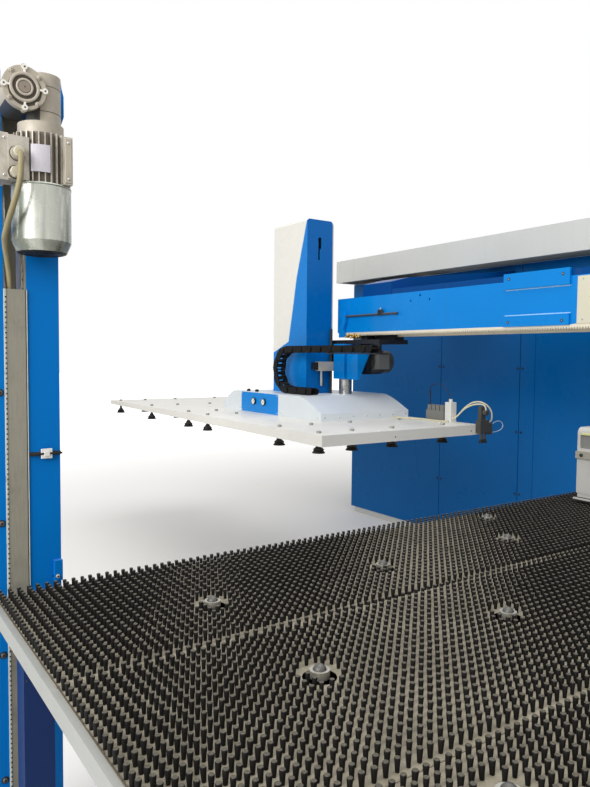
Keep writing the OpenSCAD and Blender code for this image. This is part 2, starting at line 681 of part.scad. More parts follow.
// Carriage bar that runs in the rail's two grooves, with a lower jaw at each clamp
module x_carriage() {
    near = rail_y - rail_w / 2;
    color(steel) difference() {
        union() {
            block(first_clamp_x - 150, first_clamp_x - 150 + carriage_l, near - 30, near - 2,
                rail_low_z + 70, rail_high_z - 20);
            for (z = [rail_low_z + 90 + guide_gap, rail_high_z - 80 + guide_gap])
                block(first_clamp_x - 150, first_clamp_x - 150 + carriage_l, near - 3, near + 29, z,
                    z + 40 - 2 * guide_gap);
            for (i = [0:clamps - 1]) clamp_site(i) {
                block(-clamp_w / 2, clamp_w / 2, jaw_pin_y - 20, near - 30, rail_low_z + 30, jaw_pin_z - 24);
                block(-clamp_w / 2, clamp_w / 2, near - 60, near - 30, rail_low_z + 30, jaw_pin_z + 90);
                for (x = [-clamp_w / 2, clamp_w / 2 - 20])
                    block(x, x + 20, jaw_pin_y - 20, near - 30, jaw_pin_z - 25, jaw_pin_z + 20);
                rod_x(jaw_pin_r, -clamp_w / 2, clamp_w / 2, jaw_pin_y, jaw_pin_z);
            }
            for (i = [0:clamps - 1]) clamp_site(i)
                block(-30, 30, jaw_pin_y - 150, jaw_pin_y - 19, jaw_tip_z - 2, jaw_tip_z + 10);
            for (i = [0:clamps - 1]) clamp_site(i)
                block(-30, 30, jaw_pin_y - 60, jaw_pin_y - 19, jaw_tip_z - 2, rail_low_z + 50);
        }
    }
}
// Upper jaws, one lever to each clamp, turning on the clamp's pin
module clamp_jaws() {
    color(dark) for (i = [0:clamps - 1]) clamp_site(i) difference() {
        union() {
            rod_x(20, -30, 30, jaw_pin_y, jaw_pin_z);
            block(-30, 30, jaw_pin_y - 150, jaw_pin_y, jaw_pin_z - 14, jaw_pin_z + 14);
            block(-30, 30, jaw_pin_y - 150, jaw_pin_y - 115, jaw_tip_z + 26, jaw_pin_z);
        }
        rod_x(jaw_pin_r + run, -31, 31, jaw_pin_y, jaw_pin_z);
    }
}
// Box tube with welded cleats and a cream guard plate on its left face
module loading_beam() {
    color(blue) {
        difference() {
            block(beam_x, beam_x + beam_w, beam_near_y, beam_far_y, beam_low_z, beam_top_z);
            block(beam_x + beam_wall, beam_x + beam_w - beam_wall, beam_near_y - 1, beam_far_y + 1,
                beam_low_z + beam_wall, beam_top_z - beam_wall);
            for (p = [[2877, 190], [2793, 222], [2709, 192]])
                rod_x(bolt_r, beam_x - 1, beam_x + beam_wall + 1, p[0], beam_low_z + p[1]);
        }
        difference() {
            union() {
                block(beam_x - 14, beam_x, 1710, 2125, beam_top_z - 44, beam_top_z + 42);
                block(beam_x - 14, beam_x, 1710, 2125, beam_low_z - 2, beam_low_z + 56);
            }
            for (y = [1750, 2090]) for (z = [beam_low_z + 22, beam_top_z + 12])
                rod_x(bolt_r, beam_x - 15, beam_x + 1, y, z);
        }
        along_x(beam_x - 26, beam_x - 6) polygon([[3540, 1740], [3600, 1740], [3600, 1800], [3570, 1850],
            [3570, 1880], [3600, 1905], [3600, 1928], [3540, 1928], [3528, 1905], [3528, 1850], [3552, 1800]]);
        block(beam_x - 8, beam_x, 3545, 3600, 1860, 1925);
        rod_y(7, 2985, 3545, beam_x - 16, 1892);
        for (y = [3000, 3400]) block(beam_x - 20, beam_x, y, y + 16, 1886, 1898);
        block(beam_x - 24, beam_x - 12, switch_y, switch_y + 45, 1885, 1922);
    }
    color(cream) block(beam_x - 4, beam_x + 0.5, beam_near_y + 40, 1671, beam_low_z + 4, beam_top_z - 6);
}
module beam_brackets() {
    arm_w = 300;
    color(blue) for (y = [beam_near_y + 230, beam_far_y - arm_w - 237]) difference() {
        along_y(y, y + arm_w) polygon([
            [-cover_half_w, beam_top_z + 260], [-cover_half_w, beam_top_z + 20],
            [beam_x + beam_w + 40, beam_top_z], [beam_x + 40, beam_top_z],
            [beam_x + 40, beam_top_z + 90], [beam_x + beam_w, beam_top_z + 130]]);
        for (dy = [60, arm_w - 60]) rod_z(bolt_r + 2, beam_top_z - 1, beam_top_z + 40, beam_x + beam_w / 2, y + dy);
    }
}
// Lower rail, upper rail and the rack under the beam's left edge, bolted up as one set
module beam_rails() {
    color(steel) {
        beam_rack();
        block(beam_x + rack_w - 1, low_rail_x + 1, beam_near_y + 20, beam_far_y - 15, beam_low_z - 5, beam_low_z);
        block(low_rail_x, low_rail_x + rail_sec, beam_near_y + 20, beam_far_y - 15, beam_low_z - rail_sec,
            beam_low_z);
        block(beam_x + 4, beam_x + 34, beam_near_y + 20, 3060, beam_top_z, beam_top_z + 34);
    }
}
// Straight rack under the beam's left edge, teeth pointing down
module beam_rack() {
    pitch = PI * drive_module;
    first_y = pinion_y - floor((pinion_y - beam_near_y - 40) / pitch) * pitch;
    teeth = floor((beam_far_y - 40 - first_y) / pitch);
    slope = tan(20);
    root = 1.25 * drive_module;
    tip_half = pitch / 4 - tooth_gap - drive_module * slope;
    root_half = pitch / 4 - tooth_gap + root * slope;
    end_y = first_y + teeth * pitch - pitch / 2;
    along_x(beam_x, beam_x + rack_w) polygon(concat(
        [[first_y - pitch / 2, beam_low_z], [first_y - pitch / 2, rack_pitch_z + root]],
        [for (i = [0:teeth - 1]) for (p = [[-root_half, root], [-tip_half, -drive_module],
            [tip_half, -drive_module], [root_half, root]])
            [first_y + i * pitch + p[0], rack_pitch_z + p[1]]],
        [[end_y, rack_pitch_z + root], [end_y, beam_low_z]]));
}
// Involute outline point at radius r on a base circle of radius rb, in degrees from the tooth's start
function involute_angle(r, rb) = sqrt(r * r / (rb * rb) - 1) * 180 / PI - acos(rb / r);
function tooth_side(r, rb, half) = half - involute_angle(r, rb);
module gear_outline(teeth, m, thin) {
    rp = m * teeth / 2;
    rb = rp * cos(20);
    ra = rp + m;
    rf = rp - 1.25 * m;
    half_pitch = 90 / teeth - thin / rp * 180 / PI;
    base_half = half_pitch + involute_angle(rp, rb);
    steps = [for (s = [0:5]) rb + (ra - rb) * s / 5];
    flank = [for (r = steps) [r, tooth_side(r, rb, base_half)]];
    circle(r = rf, $fn = 60);
    for (k = [0:teeth - 1]) rotate(k * 360 / teeth)
        polygon(concat(
            [[(rf - 1) * cos(base_half), -(rf - 1) * sin(base_half)]],
            [for (p = flank) [p[0] * cos(p[1]), -p[0] * sin(p[1])]],
            [for (i = [5:-1:0]) [flank[i][0] * cos(flank[i][1]), flank[i][0] * sin(flank[i][1])]],
            [[(rf - 1) * cos(base_half), (rf - 1) * sin(base_half)]]));
}
module travel_pinion() {
    color(steel) {
        translate([beam_x + 2, pinion_y, pinion_z]) rotate([90, 0, 90]) linear_extrude(rack_w - 4)
            rotate(90 + 180 / pinion_teeth) gear_outline(pinion_teeth, drive_module, tooth_gap);
        rod_x(shaft_r, beam_x + 2, gearcase_x + gearcase_w, pinion_y, pinion_z);
    }
}
// Plate with runner blocks, column bracket, gear case, lift guide and chain tray
module travel_carriage() {
    runner_w = 90;
    arm_low_z = beam_low_z - 335;
    guide_x1 = column_x1 + 36;
    color(dark) difference() {
        union() {
            block(guide_x1 + 6, beam_x + beam_w + 20, carriage_near_y, carriage_far_y,
                carriage_top_z - carriage_t, carriage_top_z);
            for (y = [carriage_near_y + 20, carriage_far_y - 210])
                block(low_rail_x - 28, low_rail_x + rail_sec + 28, y, y + 190, carriage_top_z,
                    beam_low_z - 6);
            block(guide_x1, guide_x1 + 24, column_y0 - 120, column_y0 + 330, beam_low_z - 275, carriage_top_z);
            for (z = [beam_low_z - 255, beam_low_z - 145])
                block(column_x1 + 14, guide_x1 + 1, column_y0 + 160, column_y0 + 250, z, z + runner_w);
            block(gearcase_x, gearcase_x + gearcase_w, pinion_y - 70, pinion_y + 70, motor_z - 90,
                carriage_top_z + 25);
            along_y(lift_post_y - 62, lift_post_y + 62) polygon([
                [lift_post_x - 62, arm_low_z], [lift_post_x + 52, arm_low_z], [gearcase_x + 34, arm_low_z + 120],
                [gearcase_x + 34, carriage_top_z - 29], [lift_post_x - 62, carriage_top_z - 29]]);
            block(chain_x - chain_w / 2 - 4, chain_x + chain_w / 2 + 4, tray_near_y, carriage_near_y + 60,
                chain_up_z - chain_h / 2 - 8, chain_up_z - chain_h / 2 - 2);
            block(chain_x, guide_x1 + 10, carriage_near_y, carriage_near_y + 60,
                chain_up_z - chain_h / 2 - 8, chain_up_z - chain_h / 2 - 2);
            block(guide_x1 + 6, guide_x1 + 30, carriage_near_y, carriage_near_y + 60,
                chain_up_z - chain_h / 2 - 8, carriage_top_z - carriage_t);
        }
        block(low_rail_x - guide_gap, low_rail_x + rail_sec + guide_gap, carriage_near_y - 1,
            carriage_far_y + 1, beam_low_z - rail_sec - guide_gap, beam_low_z);
        block(beam_x - 3, gearcase_x - 1, pinion_y - pinion_r - 8, pinion_y + pinion_r + 8,
            carriage_top_z - carriage_t - 200, carriage_top_z + 1);
        rod_x(shaft_r + run, gearcase_x - 1, gearcase_x + gearcase_w + 1, pinion_y, pinion_z);
        rod_z(post_r + run, arm_low_z - 1, carriage_top_z - carriage_t - 20, lift_post_x, lift_post_y);
        block(column_x1, column_x1 + 26, column_y0 + 190 - guide_gap, column_y0 + 220 + guide_gap,
            beam_low_z - 275, beam_low_z - 45);
    }
}
module travel_motor() {
    x0 = gearcase_x + gearcase_w;
    color([0.33, 0.33, 0.34]) {
        rod_x(travel_motor_r, x0 + 12, x0 + 150, pinion_y, motor_z);
        rod_x(travel_motor_r - 12, x0, x0 + 12, pinion_y, motor_z);
        rod_x(travel_motor_r - 4, x0 + 149, x0 + 210, pinion_y, motor_z);
        for (a = [0:15:345]) translate([x0 + 20, pinion_y, motor_z]) rotate([a, 0, 0])
            translate([0, -2, travel_motor_r - 4]) cube([120, 4, 10]);
        block(x0 + 24, x0 + 124, pinion_y - travel_motor_r - 42, pinion_y - travel_motor_r + 20,
            motor_z - 52, motor_z + 52);
    }
}
// One link of the chain: two side plates, two cross bars and the pin that its neighbour turns on
module chain_link(wide) {
    w = wide ? chain_w : chain_w - 12;
    side_t = wide ? 7 : 6;
    link_gap = 3;
    end_d = wide ? chain_h - 8 : chain_h - 4;
    for (s = [-1, 1])
        translate([s > 0 ? w / 2 - side_t : -w / 2, 0, 0]) rotate([90, 0, 90]) linear_extrude(side_t) {
            translate([link_gap, -chain_h / 2]) square([chain_pitch - 2 * link_gap, chain_h]);
            circle(d = end_d, $fn = 36);
            translate([chain_pitch, 0]) circle(d = end_d, $fn = 36);
        }
    for (z = [-chain_h / 2, chain_h / 2 - 5])
        translate([-w / 2, chain_pitch / 2 - 8, z]) cube([w, 16, 5]);
    rod_x(5, 9 - chain_w / 2, chain_w / 2 - 9, 0, 0);
}
// Pin places along the upper run, round the loop and back along the lower run
top_links = floor((chain_loop_y - chain_fix_y) / chain_pitch);
low_links = 5;
chain_pins = concat(
    [for (i = [top_links:-1:1]) [chain_loop_y - i * chain_pitch, chain_up_z]],
    [for (i = [0:loop_links]) [chain_loop_y + chain_bend_r * sin(i * loop_step),
        chain_up_z - chain_bend_r + chain_bend_r * cos(i * loop_step)]],
    [for (i = [1:low_links]) [chain_loop_y - i * chain_pitch, chain_low_z]]);
module energy_chain() {
    color(dark) for (i = [0:len(chain_pins) - 2]) {
        a = chain_pins[i];
        b = chain_pins[i + 1];
        translate([chain_x, a[0], a[1]]) rotate([atan2(b[1] - a[1], b[0] - a[0]), 0, 0])
            chain_link(i % 2 == 1);
    }
}
// Column cover with a chamfered crown, a slotted near side, an air valve and a guide rail
module lift_column() {
    z0 = housing_top_z;
    z1 = housing_top_z + column_h;
    chamfer = 14;
    slot_x = (column_x0 + column_x1) / 2 - 4;
    color(blue) difference() {
        along_y(column_y0, column_y1) polygon([[column_x0, z0], [column_x1, z0], [column_x1, z1 - chamfer],
            [column_x1 - chamfer, z1], [column_x0 + chamfer, z1], [column_x0, z1 - chamfer]]);
        block(column_x0 + column_t, column_x1 - column_t, column_y0 + column_t, column_y1 - column_t, z0 - 1,
            z1 - chamfer - column_t);
        block(slot_x - 11, slot_x + 5, column_y0 - 1, column_y0 + 40, z1 - 285, z1 - 204);
        block(slot_x - 11, slot_x + 17, column_y0 - 1, column_y0 + 40, z1 - 205, z1 - 125);
    }
    color(steel) {
        block(column_x1 - 0.5, column_x1 + 12, column_y0 + 185, column_y0 + 225, z0 + 20, z1 - 60);
        block(column_x1 + 10, column_x1 + 22, column_y0 + 192, column_y0 + 218, z0 + 20, z1 - 60);
        rod_z(post_r, housing_top_z, carriage_top_z - carriage_t - 60, lift_post_x, lift_post_y);
        block(column_x0 + 80, column_x1 + 16, column_y0 - 44, column_y0 + 1, z0 + 163, z0 + 230);
    }
    color(dark) {
        block(column_x0 + 44, column_x0 + 81, column_y0 - 38, column_y0 + 1, z0 + 172, z0 + 224);
        rod_z(12, z0 + 56, z0 + 164, column_x0 + 120, column_y0 - 22);
        rod_z(10, z0, z0 + 467, column_x1 - 20, column_y0 - 22);
    }
}
function arc_side(y0, y1, z0, z1, n) = [for (i = [0:n])
    [y0 + (y1 - y0) * (0.35 * sin(i * 90 / n) + 0.65 * i / n), z0 + (z1 - z0) * sin(i * 90 / n)]];
module housing_outline(inset) {
    lip_z = sf_top_z + housing_lip;
    near = arc_side(housing_near_y + inset, housing_near_y + shoulder_near, lip_z, housing_top_z - inset, 8);
    far = arc_side(housing_far_y - inset, housing_far_y - shoulder_far, lip_z, housing_top_z - inset, 8);
    polygon(concat([[housing_near_y + inset, sf_top_z - (inset > 0 ? 1 : 0)]], near,
        [for (i = [8:-1:0]) far[i]], [[housing_far_y - inset, sf_top_z - (inset > 0 ? 1 : 0)]]));
}
module suction_housing() {
    color(light_grey) difference() {
        along_x(housing_left_x, housing_right_x) housing_outline(0);
        along_x(housing_left_x + sheet_t, housing_right_x - sheet_t) housing_outline(sheet_t);
        block(housing_left_x - 1, housing_left_x + sheet_t + 1, housing_near_y + 521, housing_near_y + 1011,
            sf_top_z + 14, housing_top_z - 14);
    }
}
module gauge_panel() {
    color(blue) block(housing_left_x - 3, housing_left_x, housing_near_y + 511, housing_near_y + 1021,
        sf_top_z + 4, housing_top_z - 4);
    color(cream) for (y = [695, 832])
        rod_x(24, housing_left_x - 14, housing_left_x - 2, housing_near_y + y, sf_top_z + 86);
    color(dark) for (y = [866, 986])
        rod_z(12, housing_top_z, housing_top_z + 16, housing_left_x + 40, housing_near_y + y);
}
// Shallow inverted tray, its rim thinner toward the far end
module suction_frame() {
    far_rim = 34;
    color(cream) difference() {
        along_x(sf_left_x, sf_right_x) polygon([[sf_near_y, sf_top_z], [sf_near_y, sf_top_z - sf_rim],
            [sf_far_y, sf_top_z - far_rim], [sf_far_y, sf_top_z]]);
        block(sf_left_x + sf_t, sf_right_x - sf_t, sf_near_y + sf_t, sf_far_y - sf_t, sf_top_z - sf_rim - 1,
            sf_top_z - sf_t);
        for (c = cup_sites) rod_z(stem_r + run, sf_top_z - sf_t - 1, sf_top_z + 1, c[0], c[1]);
    }
}
module suction_cups() {
    color(dark) for (c = cup_sites) translate([c[0], c[1], 0]) {
        rod_z(stem_r, cup_low_z + 30, stem_top_z, 0, 0);
        translate([0, 0, cup_low_z]) rotate_extrude($fn = 48) polygon([
            [0, 12], [cup_r - 8, 6], [cup_r - 1, 0], [cup_r, 3], [cup_r - 9, 14], [cup_r - 5, 20],
            [cup_r - 15, 30], [stem_r + 6, 34], [stem_r + 6, 42], [0, 42]]);
        translate([0, 0, stem_top_z - 10]) cylinder(r = 15, h = cup_nut_h, $fn = 6);
    }
}
module valve_block() {
    x0 = sf_right_x - 70;
    y0 = sf_near_y + 250;
    color(steel) {
        block(x0, x0 + 56, y0, y0 + 160, sf_top_z, sf_top_z + 70);
        for (i = [0:3]) block(x0 + 6, x0 + 50, y0 + 8 + i * 38, y0 + 38 + i * 38, sf_top_z + 70, sf_top_z + 105);
        rod_z(4, sf_top_z + 104, sf_top_z + 200, x0 + 16, y0 + 140);
    }
    color(cream) {
        block(x0 + 4, x0 + 52, y0 - 62, y0 - 8, sf_top_z, sf_top_z + 130);
        cord(plate_hose_route, hose_r, [0, 0, 1]);
        rod_z(12, sf_top_z + 130, sf_top_z + 150, x0 + 28, y0 - 35);
    }
}
// Edge gripper at the frame's near right corner
module gripper_unit() {
    x0 = sf_right_x - 46;
    y0 = sf_near_y - 40;
    color(steel) {
        block(x0, sf_right_x + 34, y0, sf_near_y, sf_top_z - 50, sf_top_z + 30);
        block(x0 + 12, x0 + 52, y0 + 6, y0 + 34, sf_top_z + 30, sf_top_z + 115);
        rod_y(16, y0 - 26, y0, x0 + 30, sf_top_z + 78);
        rod_z(9, sf_top_z - 92, sf_top_z - 50, x0 + 30, y0 + 20);
        rod_z(9, sf_top_z - 92, sf_top_z - 50, x0 + 64, y0 + 20);
        block(sf_right_x + 34, sf_right_x + 70, y0 + 4, y0 + 36, sf_top_z - 62, sf_top_z + 8);
    }
    color(dark) for (x = [x0 + 30, x0 + 64]) translate([x, y0 + 20, sf_top_z - 114])
        cylinder(r1 = 15, r2 = 9, h = 23, $fn = 48);
}
module mast_column() {
    color(blue) {
        difference() {
            block(mast_left_x, mast_right_x, mast_y, mast_y + mast_d, 14, mast_h);
            block(mast_x - channel_w / 2, mast_x + channel_w / 2, mast_y - 1, mast_y + mast_d + 1, 60, mast_h + 1);
            for (z = plate_bolt_zs) rod_y(5, mast_y - 1, mast_y + 20, mast_x - channel_w / 2 - 13, z);
            rod_y(5, mast_y - 1, mast_y + 20, mast_x + 100, 943);
        }
        difference() {
            block(mast_left_x - 30, mast_right_x + 30, mast_y - 30, mast_y + mast_d + 30, 0, 14);
            for (x = [mast_left_x - 8, mast_right_x + 8]) for (y = [mast_y - 8, mast_y + mast_d + 8])
                rod_z(9, -1, 15, x, y);
        }
        block(mast_x + channel_w / 2 + 1, mast_right_x, mast_y - 6, mast_y + 1, 1305, 1316);
    }
}
// Folded channel that guides the chain, with a strip that closes its lower part
module mast_channel() {
    x0 = mast_x - channel_w / 2 + guide_gap;
    x1 = mast_x + channel_w / 2 - guide_gap;
    color(steel) {
        difference() {
            block(x0, x1, mast_y + 4, mast_y + channel_d, 60, mast_h - 60);
            block(x0 + channel_t, x1 - channel_t, mast_y + 3, mast_y + channel_d - channel_t, 59, mast_h);
            block(mast_x + sprocket_r - 7, mast_x + sprocket_r + 5, mast_y + channel_d - channel_t - 1,
                mast_y + channel_d + 1, 300, mast_h - 200);
            for (z = [low_sprocket_z, shaft_z])
                rod_y(mast_shaft_r + run, mast_y + channel_d - channel_t - 1, mast_y + channel_d + 1, mast_x, z);
        }
        block(x0 + 4, x1 - 4, mast_y - 3, mast_y + 4.01, 75, 1782);
    }
}
// Two runs of roller chain with plates and pins, joined round the sprockets
module mast_chain() {
    run_z = shaft_z - low_sprocket_z;
    links = floor(run_z / roller_pitch);
    plate_l = 20;
    color([0.3, 0.28, 0.25]) {
        for (side = [-1, 1]) {
            block(mast_x + side * sprocket_r - 1.5, mast_x + side * sprocket_r + 1.5, sprocket_y - 5,
                sprocket_y + 5, low_sprocket_z, shaft_z);
            for (i = [0:links - 1])
                block(mast_x + side * sprocket_r - (side > 0 ? 1 : 4), mast_x + side * sprocket_r
                    + (side > 0 ? 4 : 1), sprocket_y - 7, sprocket_y + 7, low_sprocket_z + i * roller_pitch + 3,
                    low_sprocket_z + i * roller_pitch + 3 + plate_l);
        }
        for (z = [low_sprocket_z, shaft_z]) intersection() {
            difference() {
                rod_y(sprocket_r + 1.5, sprocket_y - 5, sprocket_y + 5, mast_x, z);
                rod_y(sprocket_r - 1.5, sprocket_y - 6, sprocket_y + 6, mast_x, z);
            }
            block(mast_x - 60, mast_x + 60, sprocket_y - 8, sprocket_y + 8, z - (z < 1000 ? 60 : 0),
                z + (z < 1000 ? 0 : 60));
        }
    }
}
// Toothed disc inside a bend of the chain, on a shaft that starts at near_y
module sprocket(z, near_y) {
    tip_r = sprocket_r - 2;
    translate([mast_x, sprocket_y + 4, z]) rotate([90, 0, 0]) linear_extrude(8) difference() {
        circle(r = tip_r, $fn = 48);
        for (a = [0:30:330]) rotate(a) translate([tip_r + 1, 0]) circle(r = 3, $fn = 24);
    }
    rod_y(mast_shaft_r, near_y, mast_y + channel_d + 4, mast_x, z);
}
module drive_sprocket() {
    color(steel) sprocket(shaft_z, flange_y + 4);
}
module idler_sprocket() {
    color(steel) sprocket(low_sprocket_z, sprocket_y - 12);
}
// Sliding carriage behind the channel with the lift's mounting plate
module mast_carriage() {
    color(deep_blue) difference() {
        union() {
            block(mast_x - channel_w / 2 + 1, mast_x + channel_w / 2 - 1, mast_y + channel_d + 6,
                mast_y + mast_d + 2, 1150, 1450);
            block(mast_x - 90, mast_x + 100, mast_y + mast_d + 2, mast_y + mast_d + 22, 1120, 1480);
            block(mast_x + sprocket_r - 5, mast_x + sprocket_r + 3, sprocket_y + 7.5,
                mast_y + channel_d + 7, 1200, 1400);
        }
        for (x = [mast_x - 60, mast_x + 70]) for (z = [1150, 1450])
            rod_y(9, mast_y + mast_d + 1, mast_y + mast_d + 23, x, z);
    }
}
// Fan cowl's round form with a chamfered lower edge
module cowl_form(radius, low_z, high_z) {
    edge = 28;
    translate([motor_x, motor_y, low_z]) {
        cylinder(r1 = radius - 12, r2 = radius, h = edge, $fn = 48);
        translate([0, 0, edge - 0.01]) cylinder(r = radius, h = high_z - low_z - edge + 0.01, $fn = 48);
    }
}
// Worm gearbox with flange, vertical finned motor, fan cowl and terminal boxes
module gear_motor() {
    cowl_h = 173;
    cowl_z = shaft_z - 418;
    fin_z = cowl_z + cowl_h;
    fin_h = 138;
    color(steel) difference() {
        union() {
            rod_y(flange_r, flange_y, flange_y + 18, mast_x, shaft_z);
            rod_y(flange_r - 8, flange_y + 17, mast_y, mast_x, shaft_z);
            for (a = [0:90:270]) translate([mast_x, flange_y + 16, shaft_z]) rotate([90, a, 0])
                translate([flange_r - 2, 0, 0]) cylinder(r = 8, h = 14, $fn = 32);
            rod_z(45, fin_z + fin_h - 1, shaft_z + 56, motor_x + 8, motor_y);
            rod_z(motor_r - 18, fin_z + fin_h - 2, fin_z + fin_h + 31, motor_x, motor_y);
        }
        rod_y(mast_shaft_r + run, flange_y + 2, mast_y + 1, mast_x, shaft_z);
        rod_y(30, flange_y - 1, flange_y + 5, mast_x, shaft_z);
    }
    color([0.62, 0.6, 0.56]) {
        rod_z(motor_r - 12, fin_z, fin_z + fin_h, motor_x, motor_y);
        for (a = [0:12:348]) translate([motor_x, motor_y, fin_z]) rotate([0, 0, a])
            translate([motor_r - 14, -1.5, 0]) cube([12.5, 3, fin_h - 1]);
        block(motor_x - 97, motor_x - 45, motor_y - 60, motor_y + 24, fin_z + 6, fin_z + 118);
        block(motor_x - 117, motor_x - 96, motor_y - 54, motor_y + 30, fin_z + 2, fin_z + 123);
        block(motor_x + 40, motor_x + 64, motor_y - 76, motor_y - 30, fin_z + 6, fin_z + 132);
        rod_y(18, motor_y - 78, motor_y - 59, cable_route[0][0], cable_route[0][2]);
        rod_y(14, motor_y - 68, motor_y - 59, cable_route[0][0] - 6, cable_route[0][2] - 50);
    }
    color([0.7, 0.7, 0.68]) difference() {
        cowl_form(motor_r, cowl_z, fin_z + 4);
        cowl_form(motor_r - 3, cowl_z + 4, fin_z + 3);
        for (a = [0:20:340]) translate([motor_x, motor_y, cowl_z - 1]) rotate([0, 0, a])
            translate([22, -3, 0]) cube([40, 6, 6]);
    }
}

function unit(v) = v / norm(v);
// Smooth curve through four neighbouring points, t from 0 to 1 between the middle two
function between(a, b, c, d, t) = 0.5 * (2 * b + (c - a) * t + (2 * a - 5 * b + 4 * c - d) * t * t
    + (3 * b - a - 3 * c + d) * t * t * t);
function smooth_route(p) = let(last = len(p) - 1) concat(
    [for (i = [0:last - 1]) for (k = [0:cord_steps - 1])
        between(p[max(i - 1, 0)], p[i], p[i + 1], p[min(i + 2, last)], k / cord_steps)], [p[last]]);
// Round cord along a route; across is a direction that the route never takes
module cord(route, radius, across) {
    path = smooth_route(route);
    last = len(path) - 1;
    rings = [for (i = [0:last]) let(
            t = unit(path[min(i + 1, last)] - path[max(i - 1, 0)]), u = unit(cross(t, across)), v = cross(t, u))
        for (s = [0:cord_sides - 1]) path[i] + radius * (cos(s * 360 / cord_sides) * u
            + sin(s * 360 / cord_sides) * v)];
    polyhedron(points = rings, faces = concat(
        [[for (s = [0:cord_sides - 1]) s]],
        [for (i = [0:last - 1]) for (s = [0:cord_sides - 1]) let(n = (s + 1) % cord_sides)
            for (f = [[i * cord_sides + s, (i + 1) * cord_sides + n, i * cord_sides + n],
                [i * cord_sides + s, (i + 1) * cord_sides + s, (i + 1) * cord_sides + n]]) f],
        [[for (s = [cord_sides - 1:-1:0]) last * cord_sides + s]]));
}
module motor_cable() {
    color([0.55, 0.52, 0.42]) cord(cable_route, cable_r, [1, 0, 0]);
}
module outer_air_hose() {
    color([0.85, 0.82, 0.68]) cord(outer_hose_route, hose_r, [1, 0, 0.2]);
}
module inner_air_hose() {
    color([0.85, 0.82, 0.68]) cord(inner_hose_route, hose_r, [1, 0, 0.2]);
}
module gripper_loop_hose() {
    color([0.8, 0.85, 0.9]) cord(loop_hose_route, loop_hose_r, [0, 1, 0]);
}
module valve_loop_hose() {
    color(dark) cord(valve_loop_route, loop_hose_r, [1, 0, 0]);
}

press_frame();
base_kerb();
left_door_rear();
left_door_middle();
left_door_front();
left_upper_cover();
front_column_cover();
right_and_rear_covers();
canopy();
door_locks();
hydraulic_unit();
lower_turret();
upper_turret();
turret_spindles();
ram();
ram_cylinder();
left_table_frame();
left_table_legs();
left_side_rail();
left_brush_1();
left_brush_2();
left_brush_3();
left_brush_4();
right_table_frame();
right_brush();
centre_table();
ball_cups();
table_balls();
y_guide_rails();
y_saddles();
clamp_rail();
rail_end_housings();
x_carriage();
clamp_jaws();
loading_beam();
beam_brackets();
beam_rails();
travel_carriage();
travel_motor();
travel_pinion();
energy_chain();
lift_column();
suction_housing();
gauge_panel();
suction_frame();
suction_cups();
valve_block();
gripper_unit();
mast_column();
mast_channel();
mast_chain();
drive_sprocket();
idler_sprocket();
mast_carriage();
gear_motor();
motor_cable();
outer_air_hose();
inner_air_hose();
gripper_loop_hose();
valve_loop_hose();
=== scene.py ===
import itertools
import math
import random

import bpy
import numpy as np
from mathutils import Matrix, Vector


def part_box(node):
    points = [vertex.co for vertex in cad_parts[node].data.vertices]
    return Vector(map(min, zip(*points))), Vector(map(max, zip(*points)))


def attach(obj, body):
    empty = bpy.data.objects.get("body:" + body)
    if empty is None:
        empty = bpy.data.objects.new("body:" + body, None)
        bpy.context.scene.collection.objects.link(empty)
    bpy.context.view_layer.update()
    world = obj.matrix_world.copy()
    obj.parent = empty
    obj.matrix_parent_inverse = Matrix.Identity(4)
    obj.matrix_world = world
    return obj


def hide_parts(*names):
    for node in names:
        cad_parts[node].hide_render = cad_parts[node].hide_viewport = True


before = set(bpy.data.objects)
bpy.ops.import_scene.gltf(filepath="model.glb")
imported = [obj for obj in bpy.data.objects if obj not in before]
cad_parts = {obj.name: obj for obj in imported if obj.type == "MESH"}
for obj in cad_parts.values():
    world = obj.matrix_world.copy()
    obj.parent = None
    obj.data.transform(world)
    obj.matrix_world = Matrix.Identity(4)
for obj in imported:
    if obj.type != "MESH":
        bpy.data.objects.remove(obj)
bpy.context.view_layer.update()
rng = random.Random(11)



def show(name, data):
    """Put a mesh, curve, lamp or camera into the scene as an object."""
    thing = bpy.data.objects.new(name, data)
    bpy.context.scene.collection.objects.link(thing)
    return thing


def settle(piece, body, slot, *nodes):
    """Hang a piece on its body's empty and hide the nodes it stands for. The slot is not used."""
    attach(piece, body)
    if nodes:
        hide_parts(*nodes)
    return piece


# Camera: the photo's eye point, turn and focal length
PHOTO_HEIGHT_PX = 787
FOCAL_PX = 689.0
SENSOR_MM = 36.0
EYE = Vector((-4.978, -0.425, 1.600))
EYE_RIGHT = Vector((0.82716, -0.56189, 0.00884)).normalized()
EYE_UP = Vector((0.02305, 0.04963, 0.99850))


def make_camera():
    back = EYE_RIGHT.cross(EYE_UP).normalized()
    up = back.cross(EYE_RIGHT)
    data = bpy.data.cameras.new("photo_camera")
    data.sensor_width = SENSOR_MM
    data.lens = FOCAL_PX / PHOTO_HEIGHT_PX * SENSOR_MM
    data.clip_start = 0.02
    data.clip_end = 200.0
    camera = show("photo_camera", data)
    turn = Matrix((EYE_RIGHT, up, back)).transposed().to_4x4()
    camera.matrix_world = Matrix.Translation(EYE) @ turn
    bpy.context.scene.camera = camera


make_camera()


# Colours and materials
def srgb(red, green, blue):
    """A colour as seen on screen, 0 to 255, turned into the renderer's linear values."""
    out = []
    for value in (red, green, blue):
        part = value / 255
        out.append(part / 12.92 if part <= 0.04045 else ((part + 0.055) / 1.055) ** 2.4)
    return (*out, 1.0)


def set_input(tree, node, socket, value):
    """Link an input of a node to another's output, or give it a plain value."""
    if isinstance(value, bpy.types.NodeSocket):
        tree.links.new(value, node.inputs[socket])
    else:
        node.inputs[socket].default_value = value


